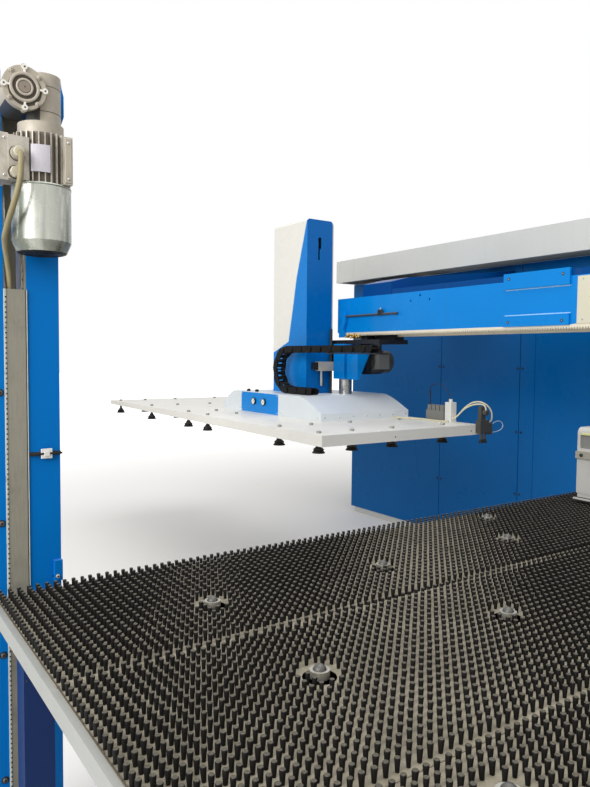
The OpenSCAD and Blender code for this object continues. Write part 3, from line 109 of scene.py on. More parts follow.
def new_node(tree, kind, inputs=None, **settings):
    """Shader node with its settings made and its inputs linked or set."""
    node = tree.nodes.new("ShaderNode" + kind)
    for name, value in settings.items():
        setattr(node, name, value)
    for socket, value in (inputs or {}).items():
        set_input(tree, node, socket, value)
    return node


class Finish:
    """A principled material with the few texture steps that the finishes below share."""

    def __init__(self, name, roughness, metallic=0.0, specular=0.5):
        self.material = bpy.data.materials.new(name)
        self.material.use_nodes = True
        self.tree = self.material.node_tree
        self.surface = self.tree.nodes["Principled BSDF"]
        self.set("Roughness", roughness)
        self.set("Metallic", metallic)
        self.set("Specular IOR Level", specular)
        self.place = self.node("TexCoord").outputs["Object"]
        self.geometry = self.node("NewGeometry")

    def set(self, socket, value):
        set_input(self.tree, self.surface, socket, value)

    def node(self, kind, inputs=None, **settings):
        return new_node(self.tree, kind, inputs, **settings)

    def maths(self, operation, first, second=0.0, clamp=False):
        return self.node("Math", {0: first, 1: second}, operation=operation, use_clamp=clamp).outputs[0]

    def noise(self, scale, detail=3.0, roughness=0.55, stretch=(1, 1, 1)):
        """Grey noise, scale in cells to the metre, drawn out along an axis where stretch is small."""
        where = self.node("Mapping", {"Scale": stretch, "Vector": self.place}).outputs[0]
        inputs = {"Scale": scale, "Detail": detail, "Roughness": roughness, "Vector": where}
        return self.node("TexNoise", inputs).outputs["Fac"]

    def between(self, value, low, high, out_low=0.0, out_high=1.0):
        """Soft step of a value, from out_low below low to out_high above high."""
        inputs = {"Value": value, "From Min": low, "From Max": high, "To Min": out_low, "To Max": out_high}
        return self.node("MapRange", inputs, interpolation_type="SMOOTHSTEP").outputs[0]

    def mix(self, share, first, second):
        return self.node("Mix", {0: share, 6: first, 7: second}, data_type="RGBA").outputs[2]

    def axis(self, vector, index):
        return self.node("SeparateXYZ", {0: vector}).outputs[index]

    def facing(self, index, sign=1.0, low=0.6, high=0.8):
        """1 where the surface faces along an axis, 0 elsewhere."""
        part = self.axis(self.geometry.outputs["Normal"], index)
        return self.between(self.maths("MULTIPLY", part, sign), low, high)

    def bump(self, height, distance, strength=0.5):
        node = self.node("Bump", {"Height": height, "Distance": distance, "Strength": strength})
        self.set("Normal", node.outputs[0])

    def colour(self, value):
        self.set("Base Color", value)

    def rough(self, value):
        self.set("Roughness", value)


DUST = srgb(176, 170, 158)
GRIME = srgb(84, 84, 86)
CHIP = srgb(70, 74, 80)


def darker(colour, share):
    return (colour[0] * share, colour[1] * share, colour[2] * share, 1.0)


def paint(name, colour, roughness=0.34, specular=0.3, dust=0.22, grime=0.16, coat=0.0, base=None):
    """Sprayed paint: a fine orange peel, faint cloudy patches, run-down grime and dust on what lies flat."""
    f = Finish(name, roughness, specular=specular)
    f.set("Coat Weight", coat)
    f.set("Coat Roughness", 0.08)
    tint = colour if base is None else base(f)
    cloud = f.between(f.noise(1.7, 3), 0.3, 0.7, 0.0, 0.35)
    tint = f.mix(cloud, tint, darker(colour, 0.86)) if base is None else tint
    streak = f.between(f.noise(14, 4, 0.6, (1, 1, 0.06)), 0.56, 0.8, 0.0, grime)
    tint = f.mix(streak, tint, GRIME)
    chips = f.between(f.noise(95, 2, 0.4), 0.765, 0.785, 0.0, 0.75)
    tint = f.mix(chips, tint, CHIP)
    flat = f.maths("MULTIPLY", f.facing(2), f.between(f.noise(6, 5, 0.7), 0.35, 0.7, 0.15, 1.0))
    tint = f.mix(f.maths("MULTIPLY", flat, dust), tint, DUST)
    f.colour(tint)
    f.rough(f.between(f.noise(5, 4), 0.3, 0.75, roughness - 0.05, roughness + 0.14))
    f.bump(f.noise(210, 2, 0.5), 0.0006, 0.16)
    return f.material


def metal(name, colour, roughness, grain=(1, 1, 1), metallic=1.0, stain=0.3, bump=0.12):
    """Bare or plated metal with tool marks along its grain and dull stains."""
    f = Finish(name, roughness, metallic)
    marks = f.noise(420, 2, 0.5, grain)
    tint = f.mix(f.between(marks, 0.3, 0.7, 0.0, 0.35), colour, darker(colour, 0.7))
    tint = f.mix(f.between(f.noise(9, 5, 0.65), 0.5, 0.78, 0.0, stain), tint, darker(colour, 0.45))
    f.colour(tint)
    f.rough(f.between(f.noise(26, 4), 0.25, 0.75, roughness - 0.08, roughness + 0.16))
    f.bump(marks, 0.0004, bump)
    return f.material


def plastic(name, colour, roughness, grain=900, wear=0.25, specular=0.4, dust=0.18):
    """Moulded plastic or rubber with a fine grain and rubbed, dusty patches."""
    f = Finish(name, roughness, specular=specular)
    rub = f.between(f.noise(30, 4, 0.6), 0.5, 0.75, 0.0, wear)
    tint = f.mix(rub, colour, srgb(96, 94, 90))
    f.colour(f.mix(f.maths("MULTIPLY", f.facing(2), dust), tint, srgb(130, 126, 118)))
    f.rough(f.between(f.noise(60, 3), 0.3, 0.7, roughness - 0.08, roughness + 0.12))
    f.bump(f.noise(grain, 2, 0.5), 0.0003, 0.3)
    return f.material


def cowl_finish():
    """Bright zinc sheet with painted reflections of a hall in soft upright stripes and bright lines, and
    painted shade on the faces that look down.
    """
    f = Finish("cowl_steel", 0.26, metallic=0.35)
    reflection_bands = f.noise(17, 2, 0.5, (1, 1, 0.07))
    highlight_streaks = f.noise(70, 3, 0.6, (1, 1, 0.15))
    # Painted reflection: dark and pale upright stripes, then bright lines.
    tint = f.mix(f.between(reflection_bands, 0.40, 0.60), srgb(112, 118, 108), srgb(196, 199, 188))
    tint = f.mix(f.between(highlight_streaks, 0.52, 0.70, 0.0, 0.6), tint, srgb(232, 234, 226))
    # Painted shade: darker on the faces that look down.
    f.colour(f.mix(f.facing(2, -1.0, 0.2, 0.7), tint, srgb(132, 136, 126)))
    f.rough(f.between(f.noise(30, 4), 0.3, 0.7, 0.18, 0.36))
    f.bump(highlight_streaks, 0.0004, 0.08)
    return f.material


def fin_finish(axis_x, axis_y, root, tip):
    """Cast alloy with painted shade that darkens it towards the root of the fins round an upright axis."""
    f = Finish("root_shaded_fin_alloy", 0.5, metallic=0.3)
    across = f.maths("SUBTRACT", f.axis(f.place, 0), axis_x)
    along = f.maths("SUBTRACT", f.axis(f.place, 1), axis_y)
    radius = f.maths("SQRT", f.maths("ADD", f.maths("MULTIPLY", across, across),
                                     f.maths("MULTIPLY", along, along)))
    tint = f.mix(f.between(f.noise(12, 5, 0.65), 0.4, 0.75), srgb(200, 194, 182), srgb(160, 152, 140))
    # Painted shade: darker towards the roots of the fins, near the axis.
    f.colour(f.mix(f.between(radius, root, tip), srgb(120, 111, 99), tint))
    f.rough(f.between(f.noise(26, 4), 0.25, 0.75, 0.42, 0.62))
    f.bump(f.noise(420, 2), 0.0004, 0.25)
    return f.material


BLUE = srgb(0, 126, 210)
# Darker blue used as painted shade on the column's near face.
NEAR_FACE_SHADE_BLUE = srgb(0, 100, 176)
CREAM = srgb(236, 234, 226)
MAST_X, MAST_Y = -4.533, 1.640
MOTOR_X, MOTOR_Y, MOTOR_R = MAST_X + 0.055, MAST_Y - 0.080, 0.078

blue_paint = paint("blue_paint", srgb(0, 136, 222), 0.3, 0.16, grime=0.08, coat=0.1)
# Dark blue for the beam brackets and the upper part of the beam rails: painted shade on the machine blue.
bracket_shade_paint = paint("bracket_shade_paint", srgb(0, 70, 138), 0.36, 0.12, grime=0.15)
# Pale blue on the weld beads: painted highlight on the beam's blue.
bead_highlight_paint = paint("bead_highlight_paint", srgb(150, 204, 240), 0.3, 0.4, coat=0.4)
# Door blue, darker than the beam's blue: painted shade on the doors.
shaded_door_paint = paint("shaded_door_paint", srgb(0, 95, 162), 0.3, 0.12, grime=0.05, coat=0.06)
mast_paint = paint("mast_paint", srgb(0, 114, 196), 0.36, 0.12, grime=0.1)
inner_paint = paint("inner_paint", srgb(0, 82, 150), 0.45, 0.12, grime=0.2)
table_paint = paint("table_paint", srgb(14, 44, 96), 0.42, 0.25, grime=0.3)
cream_paint = paint("cream_paint", CREAM, 0.38, 0.35, dust=0.06, grime=0.08)
grey_paint = paint("grey_paint", srgb(216, 217, 212), 0.36, 0.35, dust=0.06, grime=0.06)
guard_paint = paint("guard_paint", srgb(222, 218, 196), 0.4, 0.3, dust=0.06, grime=0.1)
housing_paint = paint("housing_paint", srgb(226, 232, 236), 0.34, 0.35, dust=0.04, grime=0.05)
rail_paint = paint("rail_paint", srgb(164, 166, 162), 0.42, 0.3, dust=0.2, grime=0.2)
end_paint = paint("end_paint", srgb(184, 183, 178), 0.42, 0.3, dust=0.05, grime=0.2)
dark_paint = paint("dark_paint", srgb(34, 35, 38), 0.4, 0.3, dust=0.3)
motor_paint = paint("motor_paint", srgb(74, 74, 72), 0.42, 0.3, dust=0.3)
box_grey = paint("box_grey", srgb(126, 126, 122), 0.42, 0.3, dust=0.2)
machined = metal("machined_steel", srgb(176, 176, 172), 0.3, (1, 1, 0.05))
ground_rail = metal("ground_rail", srgb(246, 236, 214), 0.34, (1, 0.03, 1), metallic=0.2, stain=0.12)
polished = metal("polished_steel", srgb(222, 222, 220), 0.12, stain=0.1, bump=0.03)
zinc = metal("zinc_sheet", srgb(178, 176, 166), 0.42, metallic=0.8, stain=0.35)
cowl_steel = cowl_finish()
root_shaded_fin_alloy = fin_finish(MOTOR_X, MOTOR_Y, 0.065, 0.0765)
bright_face = metal("bright_face", srgb(246, 243, 234), 0.42, metallic=0.1, stain=0.12)
# Dark brown for painted shade in grooves, holes and recesses, and for the dark joints and the dirty lip by
# the brushes.
shade_and_dirt_brown = plastic("shade_and_dirt_brown", srgb(74, 66, 56), 0.6, 500, 0.2)
shaft_brown = metal("shaft_brown", srgb(150, 138, 124), 0.5, metallic=0.3, stain=0.5)
gland_beige = plastic("gland_beige", srgb(204, 196, 174), 0.45, 600, 0.15)
strip_steel = metal("strip_steel", srgb(158, 154, 140), 0.5, (1, 1, 0.05), metallic=0.35, stain=0.5)
cast_alloy = metal("cast_alloy", srgb(190, 181, 165), 0.5, metallic=0.12, stain=0.4, bump=0.3)
ball_steel = metal("ball_steel", srgb(96, 94, 90), 0.42, metallic=0.5, stain=0.5)
plate_metal = metal("plate_metal", srgb(206, 203, 210), 0.45, metallic=0.1, stain=0.2)
black_plastic = plastic("black_plastic", srgb(22, 22, 24), 0.45)
chain_black = plastic("chain_black", srgb(15, 15, 16), 0.55, wear=0.15, specular=0.15, dust=0.1)
black_rubber = plastic("black_rubber", srgb(20, 19, 18), 0.62, 500, 0.4, 0.3)
cable_skin = plastic("cable_skin", srgb(152, 142, 108), 0.5, 600, 0.3)
hose_skin = plastic("hose_skin", srgb(224, 217, 184), 0.32, 300, 0.1)
clear_hose = plastic("clear_hose", srgb(196, 210, 222), 0.2, 300, 0.05)
brass = metal("brass", srgb(212, 176, 96), 0.3)
dial_white = plastic("dial_white", srgb(236, 236, 230), 0.3, 500, 0.05)
marker_green = plastic("marker_green", srgb(204, 205, 124), 0.4, 500, 0.1)
strip_white = plastic("strip_white", srgb(200, 206, 196), 0.45, 300, 0.5)
light_plastic = plastic("light_plastic", srgb(228, 228, 222), 0.4, 500, 0.1)


# Cords: each repeats the route of its solid, bent smoothly through the same points
CABLE_ROUTE = (
    (-4.553, 1.486, 2.123), (-4.552, 1.474, 2.119), (-4.551, 1.467, 2.107), (-4.552, 1.464, 2.088),
    (-4.554, 1.465, 2.054), (-4.56, 1.472, 2.02), (-4.566, 1.486, 1.99), (-4.57, 1.51, 1.965),
    (-4.572, 1.54, 1.94), (-4.572, 1.572, 1.917), (-4.565, 1.602, 1.892), (-4.556, 1.625, 1.862),
    (-4.548, 1.643, 1.825), (-4.545, 1.652, 1.79), (-4.541, 1.66, 1.755), (-4.536, 1.668, 1.72),
    (-4.533, 1.676, 1.69), (-4.533, 1.686, 1.668), (-4.533, 1.698, 1.66))
OUTER_HOSE_ROUTE = (
    (-1.6, 2.69, 1.214), (-1.6, 2.668, 1.222), (-1.6, 2.64, 1.248), (-1.599, 2.61, 1.277),
    (-1.596, 2.578, 1.301), (-1.591, 2.546, 1.317), (-1.583, 2.515, 1.323), (-1.571, 2.488, 1.319),
    (-1.556, 2.466, 1.304), (-1.543, 2.452, 1.283), (-1.532, 2.446, 1.255), (-1.524, 2.45, 1.228),
    (-1.519, 2.46, 1.207), (-1.518, 2.472, 1.196), (-1.518, 2.48, 1.186))
INNER_HOSE_ROUTE = (
    (-1.622, 2.69, 1.206), (-1.622, 2.668, 1.212), (-1.62, 2.64, 1.233), (-1.616, 2.612, 1.26),
    (-1.61, 2.58, 1.284), (-1.603, 2.548, 1.299), (-1.596, 2.519, 1.307), (-1.591, 2.498, 1.309),
    (-1.588, 2.482, 1.309), (-1.586, 2.47, 1.307), (-1.585, 2.46, 1.302), (-1.585, 2.453, 1.295),
    (-1.586, 2.449, 1.287), (-1.586, 2.447, 1.28), (-1.586, 2.447, 1.272))
LOOP_HOSE_ROUTE = (
    (-1.502, 2.48, 1.172), (-1.484, 2.48, 1.181), (-1.462, 2.48, 1.191), (-1.436, 2.48, 1.197),
    (-1.41, 2.48, 1.195), (-1.392, 2.48, 1.186), (-1.382, 2.48, 1.173), (-1.381, 2.48, 1.16),
    (-1.388, 2.48, 1.149), (-1.402, 2.48, 1.141), (-1.42, 2.48, 1.135), (-1.44, 2.48, 1.131),
    (-1.462, 2.48, 1.129), (-1.484, 2.48, 1.128), (-1.502, 2.48, 1.128))
VALVE_LOOP_ROUTE = (
    (-1.62, 2.886, 1.283), (-1.62, 2.893, 1.31), (-1.619, 2.899, 1.34), (-1.618, 2.902, 1.368),
    (-1.617, 2.899, 1.394), (-1.616, 2.886, 1.412), (-1.615, 2.866, 1.421), (-1.614, 2.842, 1.424),
    (-1.613, 2.816, 1.423), (-1.612, 2.79, 1.416), (-1.612, 2.768, 1.403), (-1.612, 2.75, 1.386),
    (-1.612, 2.734, 1.366), (-1.612, 2.721, 1.347), (-1.612, 2.715, 1.328))
CABLE_R = 0.008
HOSE_R = 0.005
LOOP_HOSE_R = 0.0025


def cord_curve(name, node, body, route, radius, finish, slot):
    """One open curve through the route's points, its handles set for an even bend at each."""
    curve = bpy.data.curves.new(name, "CURVE")
    curve.dimensions = "3D"
    curve.bevel_depth = radius
    curve.bevel_resolution = 3
    curve.resolution_u = 6
    curve.use_fill_caps = True
    spline = curve.splines.new("BEZIER")
    spline.bezier_points.add(len(route) - 1)
    points = [Vector(p) for p in route]
    for i, knot in enumerate(spline.bezier_points):
        lean = (points[min(i + 1, len(points) - 1)] - points[max(i - 1, 0)]) / 6
        knot.handle_left_type = knot.handle_right_type = "FREE"
        knot.co = points[i]
        knot.handle_left = points[i] - lean
        knot.handle_right = points[i] + lean
    curve.materials.append(finish)
    piece = show(name, curve)
    return settle(piece, body, slot, node)


motor_cable = cord_curve("motor_cable_skin", "motor_cable", "press", CABLE_ROUTE, CABLE_R, cable_skin,
                         "cable_sheath")
outer_hose = cord_curve("outer_hose_skin", "outer_air_hose", "lift", OUTER_HOSE_ROUTE, HOSE_R, hose_skin,
                        "hose_plastic")
inner_hose = cord_curve("inner_hose_skin", "inner_air_hose", "lift", INNER_HOSE_ROUTE, HOSE_R, hose_skin,
                        "hose_plastic")
loop_hose = cord_curve("gripper_loop_skin", "gripper_loop_hose", "lift", LOOP_HOSE_ROUTE, LOOP_HOSE_R,
                       clear_hose, "hose_plastic")
valve_loop = cord_curve("valve_loop_skin", "valve_loop_hose", "lift", VALVE_LOOP_ROUTE, LOOP_HOSE_R,
                        black_plastic, "black_plastic")


# Finishes of the solids. The cream field's edge is given as height and depth, from its foot up.
COLUMN_SIDE_X, COLUMN_Y = -1.915, 3.610
COLUMN_EDGE = ((1.619, 4.064), (1.708, 3.840), (1.934, 3.790), (2.168, 3.741), (2.576, 3.613))


def column_finish():
    """Blue column cover whose outer side carries a cream field, wide at the crown and narrow at its foot,
    with painted shade in a darker blue on the face that looks towards -Y.
    """
    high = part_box("lift_column")[1]
    foot, crown = COLUMN_EDGE[0][0], high.z
    near, far = COLUMN_Y, high.y

    def field(f):
        curve = f.node("FloatCurve")
        points = curve.mapping.curves[0].points
        while len(points) < len(COLUMN_EDGE):
            points.new(0.5, 0.5)
        for point, (z, y) in zip(points, COLUMN_EDGE):
            point.location = ((z - foot) / (crown - foot), (y - near) / (far - near))
            point.handle_type = "VECTOR"
        curve.mapping.update()
        height = f.maths("DIVIDE", f.maths("SUBTRACT", f.axis(f.place, 2), foot), crown - foot, clamp=True)
        set_input(f.tree, curve, "Value", height)
        along = f.maths("DIVIDE", f.maths("SUBTRACT", f.axis(f.place, 1), near), far - near)
        beyond = f.maths("GREATER_THAN", along, curve.outputs[0])
        above = f.maths("GREATER_THAN", f.axis(f.place, 2), foot)
        side = f.facing(0, -1.0, 0.2, 0.3)
        share = f.maths("MULTIPLY", f.maths("MULTIPLY", beyond, above), side)
        # Painted shade: the face that looks towards -Y takes a darker blue of the same paint.
        return f.mix(share, f.mix(f.facing(1, -1.0), BLUE, NEAR_FACE_SHADE_BLUE), CREAM)

    return paint("column_paint", BLUE, 0.26, 0.14, grime=0.02, coat=0.1, base=field)


column_paint = column_finish()
NODE_FINISHES = (
    (shaded_door_paint, "left_door_rear left_door_middle left_door_front left_upper_cover front_column_cover "
                 "right_and_rear_covers"),
    (grey_paint, "base_kerb canopy clamp_rail"),
    (inner_paint, "press_frame mast_carriage"),
    (blue_paint, "loading_beam gauge_panel"),
    (bracket_shade_paint, "beam_brackets"),
    (column_paint, "lift_column"),
    (mast_paint, "mast_column"),
    (table_paint, "left_table_frame left_table_legs right_table_frame"),
    (rail_paint, "left_side_rail"),
    (end_paint, "rail_end_housings"),
    (cream_paint, "suction_frame"),
    (housing_paint, "suction_housing"),
    (dark_paint, "hydraulic_unit ram_cylinder y_saddles clamp_jaws travel_carriage"),
    (motor_paint, "travel_motor gripper_unit"),
    (box_grey, "valve_block"),
    (cast_alloy, "gear_motor"),
    (machined, "lower_turret upper_turret turret_spindles x_carriage travel_pinion mast_chain "
               "drive_sprocket idler_sprocket"),
    (polished, "ram"),
    (zinc, "centre_table ball_cups"),
    (ball_steel, "table_balls"),
    (ground_rail, "y_guide_rails beam_rails"),
    (strip_steel, "mast_channel"),
    (black_plastic, "door_locks"),
    (chain_black, "energy_chain"),
    (black_rubber, "suction_cups"),
)
for finish, node_names in NODE_FINISHES:
    for node_name in node_names.split():
        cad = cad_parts[node_name]
        cad.data.materials.clear()
        cad.data.materials.append(finish)



def zone(node, finish, low, high):
    """Give the faces whose middle lies in a box, in metres, a finish of their own."""
    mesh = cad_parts[node].data
    if finish.name not in mesh.materials:
        mesh.materials.append(finish)
    slot = mesh.materials.find(finish.name)
    for face in mesh.polygons:
        if all(low[k] <= face.center[k] <= high[k] for k in range(3)):
            face.material_index = slot


FAR = 9.0
ZONES = {
    "cream guard": ("loading_beam", guard_paint, (-FAR, -FAR, 0), (-1.8297, 1.672, 2.018)),
    "tie strap": ("mast_column", black_plastic, (-4.502, -FAR, 1.304), (-4.411, 1.6395, 1.317)),
    "carriage bracket": ("travel_carriage", blue_paint, (-1.931, 3.437, 1.43), (-1.80, 3.563, 1.69)),
    "lift rod": ("lift_column", machined, (-1.917, 3.45, 1.334), (-1.80, 3.56, 1.70)),
    "valve body": ("lift_column", cast_alloy, (-2.061, 3.560, 1.495), (-1.898, 3.6095, 1.564)),
    "valve coil": ("lift_column", black_plastic, (-2.10, 3.570, 1.504), (-2.0585, 3.6095, 1.558)),
    "valve pin": ("lift_column", machined, (-2.033, 3.570, 1.388), (-2.007, 3.6095, 1.496)),
    "dark strip": ("lift_column", black_plastic, (-1.946, 3.577, 1.333), (-1.924, 3.5995, 1.801)),
    "lift rail": ("lift_column", machined, (-1.916, 3.79, 1.34), (-1.89, 3.84, 2.52)),
    "air filter": ("valve_block", light_plastic, (-1.637, 2.687, 1.1805), (-1.587, 2.7425, 1.335)),
    "plate hose": ("valve_block", hose_skin, (-1.76, 2.69, 1.1795), (-1.6405, 3.13, 1.192)),
    "loop fitting": ("valve_block", black_plastic, (-1.63, 2.884, 1.284), (-1.61, 2.896, 1.385)),
    "motor fins": ("gear_motor", root_shaded_fin_alloy, (-FAR, -FAR, 2.0505), (FAR, FAR, 2.189)),
    "fan cowl": ("gear_motor", cowl_steel, (-FAR, -FAR, 1.85), (FAR, FAR, 2.0505)),
    "motor lid": ("travel_motor", box_grey, (-1.735, 3.28, 1.51), (-1.630, 3.36, 1.62)),
    "cup stems": ("suction_cups", zinc, (-FAR, -FAR, 1.181), (FAR, FAR, FAR)),
    "gauge backs": ("gauge_panel", dial_white, (-2.3745, 3.7, 1.2), (-2.364, 4.1, 1.30)),
    "knob seats": ("gauge_panel", black_plastic, (-2.35, 3.9, 1.3335), (-2.29, 4.15, 1.36)),
    "gripper cup": ("gripper_unit", black_rubber, (-1.61, 2.46, 1.06), (-1.53, 2.51, 1.0885)),
    # Black band at the foot of the rail end housings; below the cream flange it is painted shade.
    "rail foot shade": ("rail_end_housings", black_rubber, (-FAR, 1.2, 0.951), (FAR, 1.45, 0.976)),
    "switch rod": ("loading_beam", motor_paint, (-1.8548, 2.90, 1.879), (-1.835, 3.52, 1.925)),
    # Painted shade: the upper part of the beam rails takes the brackets' dark blue.
    "upper edge shade": ("beam_rails", bracket_shade_paint, (-FAR, -FAR, 2.0235), (FAR, FAR, 2.0565)),
    # Painted shade: dark grey on the gearbox body below the shaft, where it is seen from below.
    "gearbox underside shade": ("gear_motor", motor_paint, (-FAR, 1.519, 2.225), (-4.48, 1.66, 2.2685)),
    "rail end bar": ("rail_end_housings", strip_steel, (-2.1745, 1.24, 1.149), (-2.1605, 1.44, 1.183)),
}
for zone_values in ZONES.values():
    zone(*zone_values)


# Brush tables: plates set with tapered bristle tufts
TUFT_H = 0.027
TUFT_RINGS = ((0.0041, 0.0), (0.0060, 0.92), (0.0052, 0.99))
BALL_GAP = 0.004
TUFT_PITCH = 0.025
PANEL_W = 0.615
PANEL_GAP = 0.002
PANEL_ROWS = 24
FIRST_ROW = 0.020
PLATE_T = 0.015
RIB_H = 0.038
PLATE_EDGE = 0.008
RIB_SHIFT = 0.028
CLEAR_R = 0.0405


def bristle_finish():
    """Black bristles: pale dusty ends on top, fine strands down the sides, and painted shade that darkens
    them towards +X.
    """
    f = Finish("black_bristle", 0.62, specular=0.25)
    strands = f.noise(1500, 2, 0.5, (1, 1, 0.05))
    side = f.mix(f.between(strands, 0.45, 0.75, 0.0, 0.6), srgb(9, 8, 6), srgb(28, 25, 21))
    ends = f.mix(f.between(f.noise(900, 2), 0.4, 0.62), srgb(52, 49, 42), srgb(112, 107, 94))
    tint = f.mix(f.facing(2, 1.0, 0.5, 0.8), side, ends)
    # Painted shade: darker towards +X, the far side.
    f.colour(f.mix(f.between(f.axis(f.place, 0), -3.2, -1.0, 0.0, 0.55), tint, srgb(20, 19, 16)))
    f.bump(strands, 0.0008, 0.6)
    return f.material


def plate_finish():
    """Grey-brown moulded base plate with dust between the tufts, and painted shade that darkens it towards
    +X.
    """
    f = Finish("brush_plate", 0.6, specular=0.3)
    tint = f.mix(f.between(f.noise(7, 5, 0.65), 0.35, 0.7), srgb(162, 154, 135), srgb(134, 127, 110))
    tint = f.mix(f.between(f.noise(260, 3), 0.55, 0.7, 0.0, 0.45), tint, srgb(86, 80, 74))
    # Painted shade: darker towards +X, the far side.
    f.colour(f.mix(f.between(f.axis(f.place, 0), -3.4, -1.2, 0.0, 0.5), tint, srgb(58, 54, 46)))
    f.bump(f.noise(420, 3), 0.0005, 0.4)
    return f.material


bristle = bristle_finish()
plate_mat = plate_finish()


def ball_places():
    """Middle of each ball transfer, from the separate balls in the frame."""
    cloud = np.array([v.co[:2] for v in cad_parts["table_balls"].data.vertices])
    centres = []
    for point in cloud[::7]:
        if all(np.hypot(*(point - c)) > 0.1 for c in centres):
            near = cloud[np.hypot(*(cloud - point).T) < 0.05]
            centres.append((near.min(0) + near.max(0)) / 2)
    return centres


BALLS = ball_places()


def ring_faces(rings, sides):
    """Faces that join each ring of points to the next."""
    faces = []
    for ring in range(rings - 1):
        for s in range(sides):
            a, b = ring * sides + s, ring * sides + (s + 1) % sides
            faces.append((a, b, b + sides, a + sides))
    return faces


def tuft_mesh(sides):
    """Points and faces of one tuft of unit height: narrow foot, wide head, a chamfer round its end."""
    points = []
    for radius, height in TUFT_RINGS:
        for s in range(sides):
            a = 2 * math.pi * s / sides
            points.append((radius * math.cos(a), radius * math.sin(a), height))
    cap = tuple(range(len(points) - sides, len(points)))
    return np.array(points), ring_faces(len(TUFT_RINGS), sides), cap


def tufts(places, plate_z, sides):
    """Points and faces of a tuft at each place, every one turned, leaned and worn a little differently."""
    unit, side_faces, cap = tuft_mesh(sides)
    count, size = len(places), len(unit)
    turn = np.array([rng.uniform(0, math.pi) for _ in range(count)])
    scale = np.array([rng.uniform(0.92, 1.04) for _ in range(count)])
    tall = np.array([TUFT_H * rng.uniform(0.955, 1.0) for _ in range(count)])
    lean = np.array([(rng.gauss(0, 0.0006), rng.gauss(0, 0.0006)) for _ in range(count)])
    x, y, z = unit.T[:, None]
    x, y = x * scale[:, None], y * scale[:, None]
    cos, sin = np.cos(turn)[:, None], np.sin(turn)[:, None]
    at = np.array(places)
    points = np.stack((at[:, :1] + x * cos - y * sin + lean[:, :1] * z,
                       at[:, 1:] + x * sin + y * cos + lean[:, 1:] * z,
                       plate_z + z * tall[:, None]), axis=2)
    faces = []
    for k in range(count):
        base = k * size
        faces += [tuple(base + i for i in face) for face in side_faces]
        faces.append(tuple(base + i for i in cap))
    smooth = ([True] * len(side_faces) + [False]) * count
    return points.reshape(-1, 3).tolist(), faces, smooth


